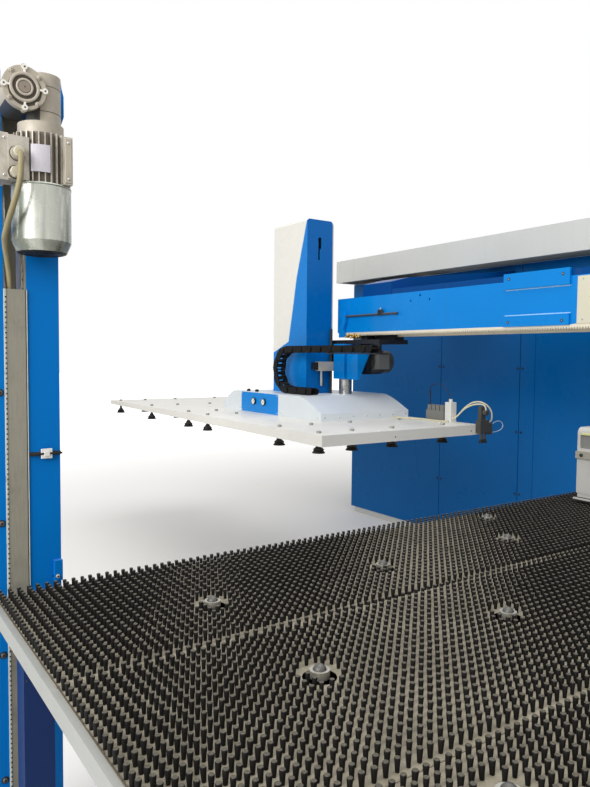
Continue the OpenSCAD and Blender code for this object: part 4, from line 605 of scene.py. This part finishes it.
# Small mesh pieces
class Piece:
    """A mesh put together from chamfered blocks, turned forms and cut outlines."""

    def __init__(self, name, *finishes):
        self.name, self.finishes = name, finishes
        self.points, self.faces, self.slots, self.smooth = [], [], [], []

    def add(self, points, faces, finish=0, smooth=False):
        start = len(self.points)
        self.points += [tuple(p) for p in points]
        self.faces += [tuple(start + i for i in face) for face in faces]
        self.slots += [finish] * len(faces)
        self.smooth += list(smooth) if isinstance(smooth, list) else [smooth] * len(faces)

    def block(self, low, high, finish=0, edge=0.001, matrix=None):
        """Block with chamfered edges between two corners."""
        low, high = Vector(low), Vector(high)
        middle, half = (low + high) / 2, (high - low) / 2
        edge = min(edge, 0.49 * min(half))
        points, index = [], {}
        corners = list(itertools.product((-1, 1), repeat=3))
        square = ((-1, -1), (1, -1), (1, 1), (-1, 1))
        for corner in corners:
            for flat in range(3):
                index[(*corner, flat)] = len(points)
                step = [sign * (half[k] - (0 if k == flat else edge)) for k, sign in enumerate(corner)]
                points.append(middle + Vector(step))
        faces = []
        for flat in range(3):
            one, two = (flat + 1) % 3, (flat + 2) % 3
            for sign in (-1, 1):
                ring = []
                for a, b in square:
                    key = [0, 0, 0]
                    key[flat], key[one], key[two] = sign, a, b
                    ring.append(index[(*key, flat)])
                faces.append(ring if sign > 0 else ring[::-1])
        for along in range(3):
            one, two = (along + 1) % 3, (along + 2) % 3
            for a, b in square:
                ends = []
                for s in (-1, 1):
                    key = [0, 0, 0]
                    key[along], key[one], key[two] = s, a, b
                    ends.append((index[(*key, one)], index[(*key, two)]))
                ring = [ends[0][0], ends[0][1], ends[1][1], ends[1][0]]
                faces.append(ring if a * b < 0 else ring[::-1])
        for corner in corners:
            ring = [index[(*corner, k)] for k in range(3)]
            faces.append(ring if math.prod(corner) > 0 else ring[::-1])
        if matrix is not None:
            points = [matrix @ p for p in points]
        self.add(points, faces, finish)

    def turned(self, at, along, profile, finish=0, sides=32, smooth=True):
        """Form of revolution from a point along an axis; profile holds (distance, radius) pairs."""
        along = Vector(along).normalized()
        across = along.orthogonal().normalized()
        other = along.cross(across)
        points = []
        for distance, radius in profile:
            for s in range(sides):
                a = 2 * math.pi * (s + 0.5) / sides
                points.append(Vector(at) + along * distance
                              + (across * math.cos(a) + other * math.sin(a)) * radius)
        faces = ring_faces(len(profile), sides)
        caps = [tuple(range(sides - 1, -1, -1)), tuple(range(len(points) - sides, len(points)))]
        self.add(points, faces + caps, finish, [smooth] * len(faces) + [False, False])

    def disc(self, at, along, radius, rise, finish=0, sides=24):
        """Disc that stands a little proud of the surface, with smooth sides unless it is a hexagon."""
        self.turned(at, along, ((-0.001, radius), (rise, radius)), finish, sides, sides > 6)

    def bolt(self, at, along, radius, height, finish=0):
        """Button-head screw with a hexagon socket, its head standing on the surface; the socket is a dark
        hexagon in the piece's last finish, painted shade of the hole.
        """
        r, h = radius, height
        self.turned(at, along, ((-0.0005, r), (0.35 * h, r), (0.75 * h, 0.85 * r), (h, 0.6 * r)), finish, 20)
        self.turned(Vector(at) + Vector(along).normalized() * (h - 0.0001), along,
                    ((-0.0004, 0.38 * r), (0.0003, 0.38 * r)), len(self.finishes) - 1, 6, False)

    def outline(self, axis, low, high, points, finish=0):
        """Flat outline drawn out along an axis, its points given in the two axes that follow it."""
        one, two = (axis + 1) % 3, (axis + 2) % 3
        area = sum(points[i - 1][0] * p[1] - p[0] * points[i - 1][1] for i, p in enumerate(points))
        points = points if area > 0 else points[::-1]
        out = []
        for level in (low, high):
            for p in points:
                where = [0.0, 0.0, 0.0]
                where[axis], where[one], where[two] = level, p[0], p[1]
                out.append(where)
        n = len(points)
        faces = [(i, (i + 1) % n, n + (i + 1) % n, n + i) for i in range(n)]
        faces += [tuple(range(n - 1, -1, -1)), tuple(range(n, 2 * n))]
        self.add(out, faces, finish)

    def done(self, body, slot, *nodes):
        mesh = bpy.data.meshes.new(self.name)
        mesh.from_pydata(self.points, [], self.faces)
        mesh.polygons.foreach_set("material_index", self.slots)
        mesh.polygons.foreach_set("use_smooth", self.smooth)
        for finish in self.finishes:
            mesh.materials.append(finish)
        piece = show(self.name, mesh)
        settle(piece, body, slot, *nodes)


def brush_panel(piece, low_x, high_x, far_y, plate_z, columns, sides):
    """One moulded panel: plate, three ribs under it and its rows of tufts."""
    near_y = far_y - PANEL_W + PANEL_GAP
    places = []
    for row in range(PANEL_ROWS):
        y = far_y - FIRST_ROW - row * TUFT_PITCH
        for column in range(columns):
            x = low_x + PLATE_EDGE + column * TUFT_PITCH
            if all(math.hypot(x - c[0], y - c[1]) > CLEAR_R + BALL_GAP for c in BALLS):
                places.append((x, y))
    points, faces, smooth = tufts(places, plate_z, sides)
    piece.add(points, faces, 0, smooth)
    piece.block((low_x, near_y, plate_z - PLATE_T), (high_x, far_y, plate_z), 1, 0.0015)
    rib_top = plate_z - PLATE_T
    for rib_x in (low_x, (low_x + RIB_SHIFT + high_x) / 2, high_x - PLATE_T):
        piece.block((rib_x, near_y, rib_top - RIB_H), (rib_x + PLATE_T, far_y, rib_top), 1)


def make_edge_strip():
    """Frayed dark lip between the side rail and the brush plates."""
    piece = Piece("brush_edge_lip", shade_and_dirt_brown)
    low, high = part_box("left_side_rail")
    y = low.y + 0.002
    while y < high.y - 0.012:
        step = rng.uniform(0.008, 0.016)
        width = rng.uniform(0.0022, 0.0036)
        rise = rng.uniform(0.0036, 0.0050)
        piece.block((high.x + 0.0002, y, high.z - 0.004), (high.x + width, y + step - 0.0006, high.z + rise),
                    0, 0.0004)
        y += step
    piece.done("press", "black_bristle")


def make_brushes():
    for number, sides in ((1, 8), (2, 8), (3, 8), (4, 10)):
        node = f"left_brush_{number}"
        low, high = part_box(node)
        piece = Piece(f"left_tufts_{number}", bristle, plate_mat)
        columns = int((high.x - low.x - PLATE_EDGE) / TUFT_PITCH)
        brush_panel(piece, low.x, high.x, high.y, high.z - TUFT_H, columns, sides)
        piece.done("press", "black_bristle", node)
    low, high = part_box("right_brush")
    piece = Piece("right_tufts", bristle, plate_mat)
    columns = int((high.x - low.x - PLATE_EDGE) / TUFT_PITCH)
    for index in range(4):
        brush_panel(piece, low.x, high.x, high.y - index * PANEL_W, high.z - TUFT_H, columns, 6)
    piece.done("press", "black_bristle", "right_brush")


make_brushes()
make_edge_strip()

# Travel carriage: slanting gusset between its bracket and its motor
GUSSET_NEAR, GUSSET_FAR = 3.287, 3.408
GUSSET_LOW, GUSSET_TOP, GUSSET_LEFT = 1.440, 1.655, -1.930


def make_carriage_gusset():
    piece = Piece("carriage_gusset", blue_paint)
    piece.outline(1, GUSSET_NEAR, GUSSET_FAR, [
        (GUSSET_LOW, GUSSET_LEFT + 0.015), (GUSSET_TOP, GUSSET_LEFT + 0.123),
        (GUSSET_TOP, GUSSET_LEFT), (GUSSET_LOW, GUSSET_LEFT)])
    piece.done("travel", "blue_paint")


make_carriage_gusset()

# Lift mast: bolts, guide strip, tie and stop
channel_low, channel_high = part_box("mast_channel")
OUT = Vector((0, -1, 0))
LEFT = Vector((-1, 0, 0))
PLATE_BOLT_X = MAST_X - 0.044
PLATE_BOLT_Z = (0.366, 0.736, 1.118, 1.490)
STRIP_FOOT, STRIP_TOP, STRIP_PITCH = 0.080, 1.782, 0.0143
TIE_X, TIE_Z = -4.453, 1.3105
TIE_STEPS = ((0.016, 0.0145, 0.0115, 0.0065, 0.003), (0.008, 0.0075, 0.0145, 0.0110, 0.002))
STOP_X, STOP_Z = -4.423, 0.961


def make_mast_bolts():
    piece = Piece("mast_bolts", ball_steel, black_plastic)
    for z in PLATE_BOLT_Z:
        piece.disc((PLATE_BOLT_X, MAST_Y, z), OUT, 0.0105, 0.0012, 1)
        piece.bolt((PLATE_BOLT_X, MAST_Y - 0.001, z), OUT, 0.0078, 0.0052)
    piece.done("press", "machined_steel")


def make_chain_strip():
    near_x, far_x, back_y = channel_low.x - 0.001, channel_high.x, MAST_Y - 0.0005
    piece = Piece("chain_edge_strip", strip_white, black_plastic)
    piece.block((near_x, back_y - 0.0040, STRIP_FOOT), (near_x + 0.0062, back_y, STRIP_TOP), 0, 0.0006)
    piece.block((far_x - 0.0005, back_y - 0.0035, STRIP_FOOT), (far_x + 0.0015, back_y, STRIP_TOP), 0, 0.0005)
    for i in range(int((STRIP_TOP - STRIP_FOOT - 0.012) / STRIP_PITCH)):
        z = STRIP_FOOT + 0.006 + i * STRIP_PITCH
        piece.disc((near_x + 0.0052, back_y - 0.0040, z), OUT, 0.0026, 0.0003, 1, 6)
    piece.done("press", "zinc_sheet")


def make_tie_mount():
    piece = Piece("tie_mount", light_plastic, black_plastic)
    for half_x, half_z, front, back, edge in TIE_STEPS:
        piece.block((TIE_X - half_x, MAST_Y - front, TIE_Z - half_z),
                    (TIE_X + half_x, MAST_Y - back, TIE_Z + half_z), 0, edge)
    piece.block((TIE_X - 0.047, MAST_Y - 0.013, TIE_Z - 0.0025),
                (TIE_X + 0.044, MAST_Y - 0.0105, TIE_Z + 0.003), 1, 0.0005)
    piece.done("press", "black_plastic")


def make_mast_stop():
    piece = Piece("mast_stop", mast_paint, zinc, black_plastic)
    piece.block((STOP_X - 0.012, MAST_Y - 0.014, STOP_Z - 0.031),
                (STOP_X + 0.012, MAST_Y + 0.0005, STOP_Z + 0.031))
    piece.bolt((STOP_X - 0.003, MAST_Y - 0.014, STOP_Z - 0.017), OUT, 0.0065, 0.005, 1)
    piece.done("press", "blue_paint")


make_mast_bolts()
make_chain_strip()
make_tie_mount()
make_mast_stop()

# Gear motor: flange rings and lugs, shaft end, blank plate, fan grille, box lids, cable gland and head plate
SHAFT_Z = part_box("mast_column")[1].z - 0.084
FLANGE = Vector((MAST_X, MAST_Y - 0.140, SHAFT_Z))
COWL_Z = SHAFT_Z - 0.418
FIN_Z = COWL_Z + 0.173
HEAD_PLATE = [(SHAFT_Z + z, MAST_X + x) for x, z in (
    (0.083, 0.089), (0.130, 0.089), (0.133, 0.068), (0.139, 0.045), (0.139, -0.013), (0.131, -0.036),
    (0.083, -0.036))]
HUB_RING = ((-0.001, 0.0388), (0.0036, 0.0386), (0.0046, 0.0376), (0.0046, 0.0318), (0.0036, 0.0308),
            (0.0012, 0.0306))
SHAFT_RING = ((0.0012, 0.0222), (0.0044, 0.0220), (0.0052, 0.0212), (0.0052, 0.0170), (0.0044, 0.0162),
              (0.0034, 0.0161))
LUG_CENTRE, LUG_R = 0.0520, 0.0074
DOME_CENTRE, DOME_TURN = 0.0500, math.radians(41)
JOINT_R = 0.0454
BLANK_PLATE_ANGLE, BLANK_PLATE_T = 0.62, 0.0012


def lug_outline():
    """Round lug on a narrow web, as points out from the shaft and to its side."""
    web = [(0.0375, 0.0026), (0.0450, 0.0026), (0.0470, 0.0052)]
    turns = [math.radians(-140 + 20 * step) for step in range(15)]
    eye = [(LUG_CENTRE + LUG_R * math.cos(t), LUG_R * math.sin(t)) for t in turns]
    return [(x, -z) for x, z in web] + eye + web[::-1]


def make_flange_parts():
    piece = Piece("gearbox_flange_parts", cast_alloy, bright_face, shade_and_dirt_brown)
    piece.turned(FLANGE, OUT, HUB_RING, 0, 64)
    # Dark disc in the groove between the shaft end and the hub ring: painted shade.
    piece.turned(FLANGE, OUT, ((0.0010, 0.0305), (0.0016, 0.0305)), 2, 48)
    # Dark crescent below the hub ring: painted shadow of the raised ring on the flange face.
    piece.turned(FLANGE + Vector((0.0012, 0, -0.0046)), OUT, ((-0.001, 0.0428), (0.0006, 0.0426)), 2, 64)
    lug = Piece("lug", bright_face)
    lug.outline(1, -0.0042, 0.001, [(z, x) for x, z in lug_outline()])
    for quarter in range(4):
        angle = quarter * math.pi / 2
        turn = Matrix.Translation(FLANGE) @ Matrix.Rotation(-angle, 4, "Y")
        piece.add([turn @ Vector(p) for p in lug.points], lug.faces, 1)
        # Dark dot at the eye of each lug: painted shade of its hole.
        piece.disc(turn @ Vector((LUG_CENTRE, -0.0040, 0)), OUT, 0.0026, 0.0004, 2, 16)
        angle += DOME_TURN
        dome = FLANGE + DOME_CENTRE * Vector((math.cos(angle), 0, math.sin(angle)))
        piece.turned(dome, OUT, ((-0.001, 0.0068), (0.0022, 0.0064), (0.0030, 0.0050)), 0, 20)
        piece.turned(dome, OUT, ((0.0028, 0.0042), (0.0052, 0.0040), (0.0058, 0.0030)), 0, 6, False)
        # Dark hexagon on each dome: painted shade of its socket.
        piece.turned(dome, OUT, ((0.0056, 0.0012), (0.0060, 0.0012)), 2, 6, False)
    joint = ((0.0, JOINT_R - 0.0014), (0.0002, JOINT_R), (0.0016, JOINT_R), (0.0018, JOINT_R - 0.0014))
    for z in (SHAFT_Z + 0.021, SHAFT_Z - 0.046):
        piece.turned((MOTOR_X + 0.008, MOTOR_Y, z), (0, 0, 1), joint, 2, 64)
    piece.done("press", "cast_alloy")


def make_shaft_end():
    piece = Piece("gearbox_shaft_end", cast_alloy, shaft_brown, dark_paint)
    piece.turned(FLANGE, OUT, SHAFT_RING, 0, 48)
    # Dark ring round the brown shaft end: painted shade of the groove.
    piece.turned(FLANGE, OUT, ((0.0030, 0.0160), (0.0038, 0.0160)), 2, 40)
    piece.turned(FLANGE, OUT, ((0.0034, 0.0150), (0.0046, 0.0148), (0.0050, 0.0142)), 1, 40)
    # Dark dot in the middle: painted shade of the centre hole.
    piece.turned(FLANGE, OUT, ((0.0048, 0.0018), (0.0053, 0.0018)), 2, 12)
    piece.done("drive_shaft", "cast_alloy")


def motor_arc(radius, turns):
    return [(MOTOR_X + radius * math.cos(t), MOTOR_Y + radius * math.sin(t)) for t in turns]


def make_blank_plate():
    plate_r = MOTOR_R + 0.0008
    middle = math.atan2(EYE.y - MOTOR_Y, EYE.x - MOTOR_X) - 0.01
    turns = [middle + (step / 8 - 0.5) * BLANK_PLATE_ANGLE for step in range(9)]
    piece = Piece("motor_blank_plate", plate_metal)
    piece.outline(2, FIN_Z + 0.030, FIN_Z + 0.101,
                  motor_arc(plate_r, turns) + motor_arc(plate_r + BLANK_PLATE_T, turns[::-1]))
    piece.done("press", "zinc_sheet")


def make_fan_grille():
    piece = Piece("fan_grille", black_plastic, cowl_steel)
    cowl_foot, down = Vector((MOTOR_X, MOTOR_Y, COWL_Z)), Vector((0, 0, -1))
    piece.turned(cowl_foot, down, ((-0.0005, 0.064), (0.0015, 0.064), (0.003, 0.060)), 0, 40)
    for r in (0.018, 0.030, 0.042, 0.054):
        ring = ((0.0, r - 0.0015), (0.0014, r - 0.0012), (0.0014, r + 0.0012), (0.0, r + 0.0015))
        piece.turned(cowl_foot + 0.0028 * down, down, ring, 0, 36)
    rim_r = MOTOR_R + 0.0006
    piece.turned((MOTOR_X, MOTOR_Y, FIN_Z - 0.001), (0, 0, 1), ((0, rim_r), (0.006, rim_r)), 1, 48)
    piece.done("press", "black_plastic")


def make_terminal_lids():
    piece = Piece("terminal_lids", cast_alloy, polished, black_plastic)
    left_x, right_y = MOTOR_X - 0.1195, MOTOR_Y - 0.0785
    piece.block((left_x, MOTOR_Y - 0.050, FIN_Z + 0.006),
                (left_x + 0.003, MOTOR_Y + 0.026, FIN_Z + 0.119), 0, 0.0012)
    piece.block((MOTOR_X + 0.043, right_y, FIN_Z + 0.010),
                (MOTOR_X + 0.061, right_y + 0.003, FIN_Z + 0.128), 0, 0.0012)
    for z in (FIN_Z + 0.014, FIN_Z + 0.110):
        piece.bolt((MOTOR_X - 0.106, MOTOR_Y - 0.054, z), OUT, 0.004, 0.003, 1)
        piece.bolt((MOTOR_X + 0.052, right_y, z + 0.006), OUT, 0.0035, 0.0025, 1)
    for z in (FIN_Z + 0.020, FIN_Z + 0.105):
        for y in (MOTOR_Y - 0.040, MOTOR_Y + 0.016):
            piece.bolt((left_x, y, z), LEFT, 0.004, 0.003, 1)
    piece.done("press", "cast_alloy")


def make_cable_gland():
    piece = Piece("cable_gland", gland_beige, shade_and_dirt_brown)
    gland = Vector(CABLE_ROUTE[0])
    plug = gland + Vector((-0.006, 0, -0.050))
    nut = ((0, 0.0175), (0.009, 0.0175), (0.010, 0.016))
    piece.turned(gland + Vector((0, 0.006, 0)), OUT, nut, 0, 6, False)
    piece.turned(gland, OUT, ((0.003, 0.0150), (0.012, 0.0135), (0.0135, 0.0115)), 0, 24)
    piece.turned(plug, OUT, ((-0.006, 0.0150), (0.003, 0.0150), (0.0045, 0.0135)), 0, 6, False)
    # Dark discs behind the gland and the plug: painted shade of the recess round them.
    for at, radius in ((gland, 0.0205), (plug, 0.0180)):
        piece.disc(at + Vector((0, 0.0135, 0)), OUT, radius, 0.0006, 1, 32)
    piece.done("press", "black_plastic")


def make_head_plate():
    piece = Piece("mast_head_plate", mast_paint)
    piece.outline(1, MAST_Y - 0.005, MAST_Y + 0.001, HEAD_PLATE)
    piece.done("press", "blue_paint")


make_flange_parts()
make_shaft_end()
make_blank_plate()
make_fan_grille()
make_terminal_lids()
make_cable_gland()
make_head_plate()

# Loading beam: weld beads, bolts, brass fittings and switch
BEAM_X, BEAM_LOW, BEAM_TOP = -1.830, 1.775, 2.023
CLEAT_NEAR, CLEAT_FAR = 1.710, 2.125
BEAD_PITCH = 0.0062
CLEAT_BOLT_Y = (1.750, 2.090)
GUARD_SCREW_Y = (-0.45, 0.15, 0.75, 1.35, 1.64)
FITTINGS = ((3.395, 0.0), (3.425, 0.010), (3.455, -0.004), (3.487, 0.012), (3.515, 0.002))
SWITCH = Vector((BEAM_X - 0.025, 3.1525, 1.888))


def make_weld_beads():
    piece = Piece("beam_weld_beads", bead_highlight_paint)
    for z in (BEAM_TOP - 0.047, BEAM_LOW + 0.059):
        y = CLEAT_NEAR + 0.004
        while y < CLEAT_FAR - 0.004:
            r = rng.uniform(0.0042, 0.0056)
            bead = ((-0.003, r), (0.0015, r * 0.95), (0.0035, r * 0.7), (0.0046, r * 0.3))
            piece.turned((BEAM_X - 0.0004, y, z), (-1, 0.35, 0), bead, 0, 8)
            y += BEAD_PITCH
    piece.done("press", "blue_paint")


def make_beam_bolts():
    piece = Piece("beam_bolts", machined, black_plastic)
    for y in CLEAT_BOLT_Y:
        for z in (BEAM_LOW + 0.022, BEAM_TOP + 0.012):
            # Dark ring round each cleat bolt: painted shade of the recess round its head.
            recess = ((-0.004, 0.0085), (0.0006, 0.0085), (0.0008, 0.0072))
            piece.turned((BEAM_X - 0.014, y, z), LEFT, recess, 1, 24)
            piece.turned((BEAM_X - 0.0142, y, z), LEFT, ((-0.001, 0.0045), (0.0012, 0.0042)), 0, 6, False)
    head = ((-0.001, 0.004), (0.0012, 0.0038), (0.002, 0.002))
    for y in GUARD_SCREW_Y:
        for z in (BEAM_LOW + 0.022, BEAM_TOP - 0.022):
            piece.turned((BEAM_X - 0.004, y, z), LEFT, head, 0, 16)
    piece.done("press", "machined_steel")


def make_brass_fittings():
    piece = Piece("beam_brass_fittings", brass)
    for y, rise in FITTINGS:
        at = Vector((BEAM_X - 0.006, y, BEAM_LOW - 0.030 + rise))
        piece.turned(at, LEFT, ((-0.008, 0.0105), (0.010, 0.0105), (0.012, 0.0085)), 0, 6, False)
        piece.turned(at + 0.012 * LEFT, (-1, 0.4, -0.5), ((0, 0.0065), (0.016, 0.0060)), 0, 16)
    piece.done("press", "machined_steel")


def make_switch():
    piece = Piece("switch_details", black_plastic, polished)
    piece.block(SWITCH - Vector((0.0015, 0.0185, 0)), SWITCH + Vector((0.0015, 0.0185, 0.031)))
    plunger = ((-0.001, 0.005), (0.010, 0.005), (0.013, 0.003))
    piece.turned(SWITCH + Vector((0.007, 0, 0.034)), (0, 0, 1), plunger, 1, 16)
    piece.done("press", "black_plastic")


make_weld_beads()
make_beam_bolts()
make_brass_fittings()
make_switch()

# Suction unit: housing screws, column trim, gauges, knobs and tray screws
house_low, house_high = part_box("suction_housing")
tray_low, tray_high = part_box("suction_frame")
PANEL_X = house_low.x - 0.003
LIP_Z = tray_high.z + 0.025
TRIM_FOOT, TRIM_TOP = 1.752, 2.556
SCREW_STEPS = 6
SIDE_SCREW_Y = [house_low.y + step for step in (0.03, 0.25, 0.47)]
SIDE_SCREW_Y += [house_high.y - 0.27, house_high.y - 0.05]
DIAL_Z = tray_high.z + 0.086
DIAL_Y = (house_low.y + 0.695, house_low.y + 0.832)
DIAL_RIM = ((-0.011, 0.0252), (0.0012, 0.0252), (0.0022, 0.0240), (0.0014, 0.0215), (-0.001, 0.0212))
KNOB_Y = (house_low.y + 0.866, house_low.y + 0.986)
KNOB_R, KNOB_RIBS = 0.0127, 14


def make_housing_screws():
    piece = Piece("housing_screws", polished, black_plastic)
    for i in range(SCREW_STEPS + 1):
        x = house_low.x + 0.03 + (house_high.x - house_low.x - 0.06) * i / SCREW_STEPS
        piece.bolt((x, house_low.y, LIP_Z), OUT, 0.0055, 0.0035)
    for y in SIDE_SCREW_Y:
        piece.bolt((house_low.x, y, LIP_Z), LEFT, 0.0055, 0.0035)
        piece.bolt((house_high.x, y, LIP_Z), -LEFT, 0.0055, 0.0035)
    for y in (house_low.y + 0.521, house_low.y + 1.011):
        for z in (tray_high.z + 0.014, house_high.z - 0.014):
            piece.bolt((PANEL_X, y, z), LEFT, 0.005, 0.003)
    piece.done("lift", "machined_steel")


def make_column_trim():
    piece = Piece("column_edge_trim", end_paint)
    piece.block((COLUMN_SIDE_X - 0.0005, COLUMN_Y - 0.002, TRIM_FOOT),
                (COLUMN_SIDE_X + 0.007, COLUMN_Y + 0.030, TRIM_TOP))
    piece.done("lift", "zinc_sheet")


def make_gauges():
    piece = Piece("pressure_gauges", black_plastic, dial_white, polished)
    for y in DIAL_Y:
        dial = Vector((house_low.x - 0.014, y, DIAL_Z))
        piece.turned(dial, LEFT, DIAL_RIM, 0, 40)
        piece.disc(dial, LEFT, 0.0214, 0.0004, 1, 40)
        for tick in range(11):
            angle = math.radians(225 - 27 * tick)
            turn = Matrix.Translation(dial + 0.0004 * LEFT) @ Matrix.Rotation(angle, 4, "X")
            piece.block((-0.0004, 0.0155, -0.0004), (0.0002, 0.0195, 0.0004), 0, 0.0001, turn)
        turn = Matrix.Translation(dial + 0.0006 * LEFT) @ Matrix.Rotation(math.radians(150), 4, "X")
        piece.block((-0.0006, -0.004, -0.0006), (0.0002, 0.0160, 0.0006), 0, 0.0002, turn)
        piece.turned(dial + 0.0004 * LEFT, LEFT, ((0, 0.0028), (0.0012, 0.0024)), 0, 16)
    piece.done("lift", "black_plastic")


def make_knobs():
    piece = Piece("regulator_knobs", black_plastic)
    for y in KNOB_Y:
        foot = Vector((house_low.x + 0.040, y, house_high.z + 0.0005))
        piece.turned(foot, (0, 0, 1), ((0, 0.0125), (0.014, 0.0128), (0.0175, 0.0115)), 0, 28)
        for rib in range(KNOB_RIBS):
            angle = 2 * math.pi * rib / KNOB_RIBS
            at = foot + KNOB_R * Vector((math.cos(angle), math.sin(angle), 0))
            low, high = at + Vector((-0.0009, -0.0009, 0.001)), at + Vector((0.0009, 0.0009, 0.0135))
            piece.block(low, high, 0, 0.0003)
    piece.done("lift", "black_plastic")


def make_tray_screws():
    piece = Piece("tray_screws", polished, black_plastic)
    for y in (tray_low.y + 0.06, tray_low.y + 0.36):
        for x in (tray_low.x + 0.45, tray_high.x - 0.36, tray_high.x - 0.10):
            piece.bolt((x, y, tray_high.z), (0, 0, 1), 0.006, 0.004)
    for x in (tray_high.x - 0.085, tray_high.x - 0.72):
        cap = ((-0.001, 0.0045), (0.0006, 0.0042))
        piece.turned((x, tray_low.y, tray_high.z - 0.036), OUT, cap, 1, 16)
    piece.done("lift", "machined_steel")


make_housing_screws()
make_column_trim()
make_gauges()
make_knobs()
make_tray_screws()

# Door locks: a ring and a barrel on each
LOCK_Z = (0.530, 1.020, 1.520, 2.200)
LOCK_Y = (3.875, 3.040)
LOCK_GAP = 0.022
LOCK_X = 0.503


def make_locks():
    piece = Piece("lock_barrels", dark_paint, black_plastic)
    for side, gap_y, step, z in itertools.product((-1, 1), LOCK_Y, (-LOCK_GAP, LOCK_GAP), LOCK_Z):
        at, along = (side * LOCK_X, gap_y + step, z), (side, 0, 0)
        piece.turned(at, along, ((-0.001, 0.0075), (0.0008, 0.0072), (0.0012, 0.006)), 1, 20)
        piece.turned(at, along, ((0.0008, 0.0030), (0.0016, 0.0026)), 0, 12)
    piece.done("press", "black_plastic")


make_locks()

# Clamp rail housings: blocks given by depth from the outer face, Y and Z, then finish and edge
end_low, end_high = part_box("rail_end_housings")
END_BLOCKS = {
    "recess lining": (-0.0118, -0.0095, 1.286, 1.414, 1.197, 1.253, 4, 0.0015),
    "marker strip": (-0.010, 0.0012, 1.290, 1.414, 1.2555, 1.2665, 1, 0.004),
    "recess insert": (-0.0100, -0.0040, 1.300, 1.350, 1.199, 1.214, 0, 0.0015),
    "foot flange": (-0.1748, 0.0155, end_low.y + 0.0065, end_high.y + 0.0015, 0.9625, 0.9712, 3, 0.0015),
    "side pin": (-0.030, 0.010, 1.2435, 1.2515, 1.120, 1.129, 0, 0.0015),
    "bright latch": (0.000, 0.012, 1.262, 1.276, 1.196, 1.204, 2, 0.0015),
}
END_BOLT_Y, END_BOLT_Z = (1.290, 1.400), 1.166
END_BOLT_HEAD = ((-0.001, 0.0085), (0.004, 0.0085), (0.0055, 0.0065))


def make_rail_end_details(name, outer, side):
    piece = Piece(name, black_plastic, marker_green, polished, end_paint, box_grey)
    for depth_in, depth_out, y0, y1, z0, z1, finish, edge in END_BLOCKS.values():
        x0, x1 = sorted((outer + side * depth_in, outer + side * depth_out))
        piece.block((x0, y0, z0), (x1, y1, z1), finish, edge)
    for y in END_BOLT_Y:
        piece.turned((outer + side * 0.0138, y, END_BOLT_Z), (side, 0, 0), END_BOLT_HEAD, 0, 6, False)
    piece.done("rail_saddle", "black_plastic")


make_rail_end_details("left_rail_end_parts", end_low.x + 0.014, -1)
make_rail_end_details("right_rail_end_parts", end_high.x - 0.014, 1)


# Floor, background and light
WHITE = (1, 1, 1, 1)
FLOOR_REACH = 60.0


def make_stage():
    mesh = bpy.data.meshes.new("studio_floor")
    corners = [(x * FLOOR_REACH, y * FLOOR_REACH, 0) for x, y in ((-1, -1), (1, -1), (1, 1), (-1, 1))]
    mesh.from_pydata(corners, [], [(0, 1, 2, 3)])
    floor = show("studio_floor", mesh)
    f = Finish("studio_floor", 0.8, specular=0.1)
    f.colour(srgb(232, 230, 226))
    away = f.node("VectorMath", {0: f.place}, operation="LENGTH")
    seen = f.node("LightPath").outputs["Is Camera Ray"]
    glow = f.maths("MULTIPLY", f.between(away.outputs["Value"], 3.0, 16.0), seen)
    f.set("Emission Color", WHITE)
    f.set("Emission Strength", glow)
    mesh.materials.append(f.material)
    floor.location.z = -0.001


def make_light(name, place, target, size, power):
    data = bpy.data.lights.new(name, "AREA")
    data.shape = "DISK"
    data.size = size
    data.energy = power
    lamp = show(name, data)
    lamp.location = place
    lamp.rotation_euler = (Vector(target) - Vector(place)).to_track_quat("-Z", "Y").to_euler()


def make_world(ambient):
    world = bpy.data.worlds.new("studio")
    world.use_nodes = True
    tree = world.node_tree
    tree.nodes.clear()
    path = new_node(tree, "LightPath")
    seen = path.outputs["Is Camera Ray"]
    for other in ("Is Glossy Ray", "Is Transmission Ray"):
        seen = new_node(tree, "Math", {0: seen, 1: path.outputs[other]}, operation="MAXIMUM").outputs[0]
    soft = new_node(tree, "Background", {"Color": WHITE, "Strength": ambient}).outputs[0]
    full = new_node(tree, "Background", {"Color": WHITE, "Strength": 1.0}).outputs[0]
    blend = new_node(tree, "MixShader", {0: seen, 1: soft, 2: full}).outputs[0]
    new_node(tree, "OutputWorld", {"Surface": blend})
    bpy.context.scene.world = world


make_stage()
make_world(0.43)
make_light("roof_light", (-2.0, 1.5, 7.5), (-2.0, 1.5, 0), 7.0, 265)
make_light("window_light", (-10.0, -1.0, 4.5), (-1.5, 2.0, 1.2), 5.0, 500)
bpy.context.scene.view_settings.view_transform = "Standard"
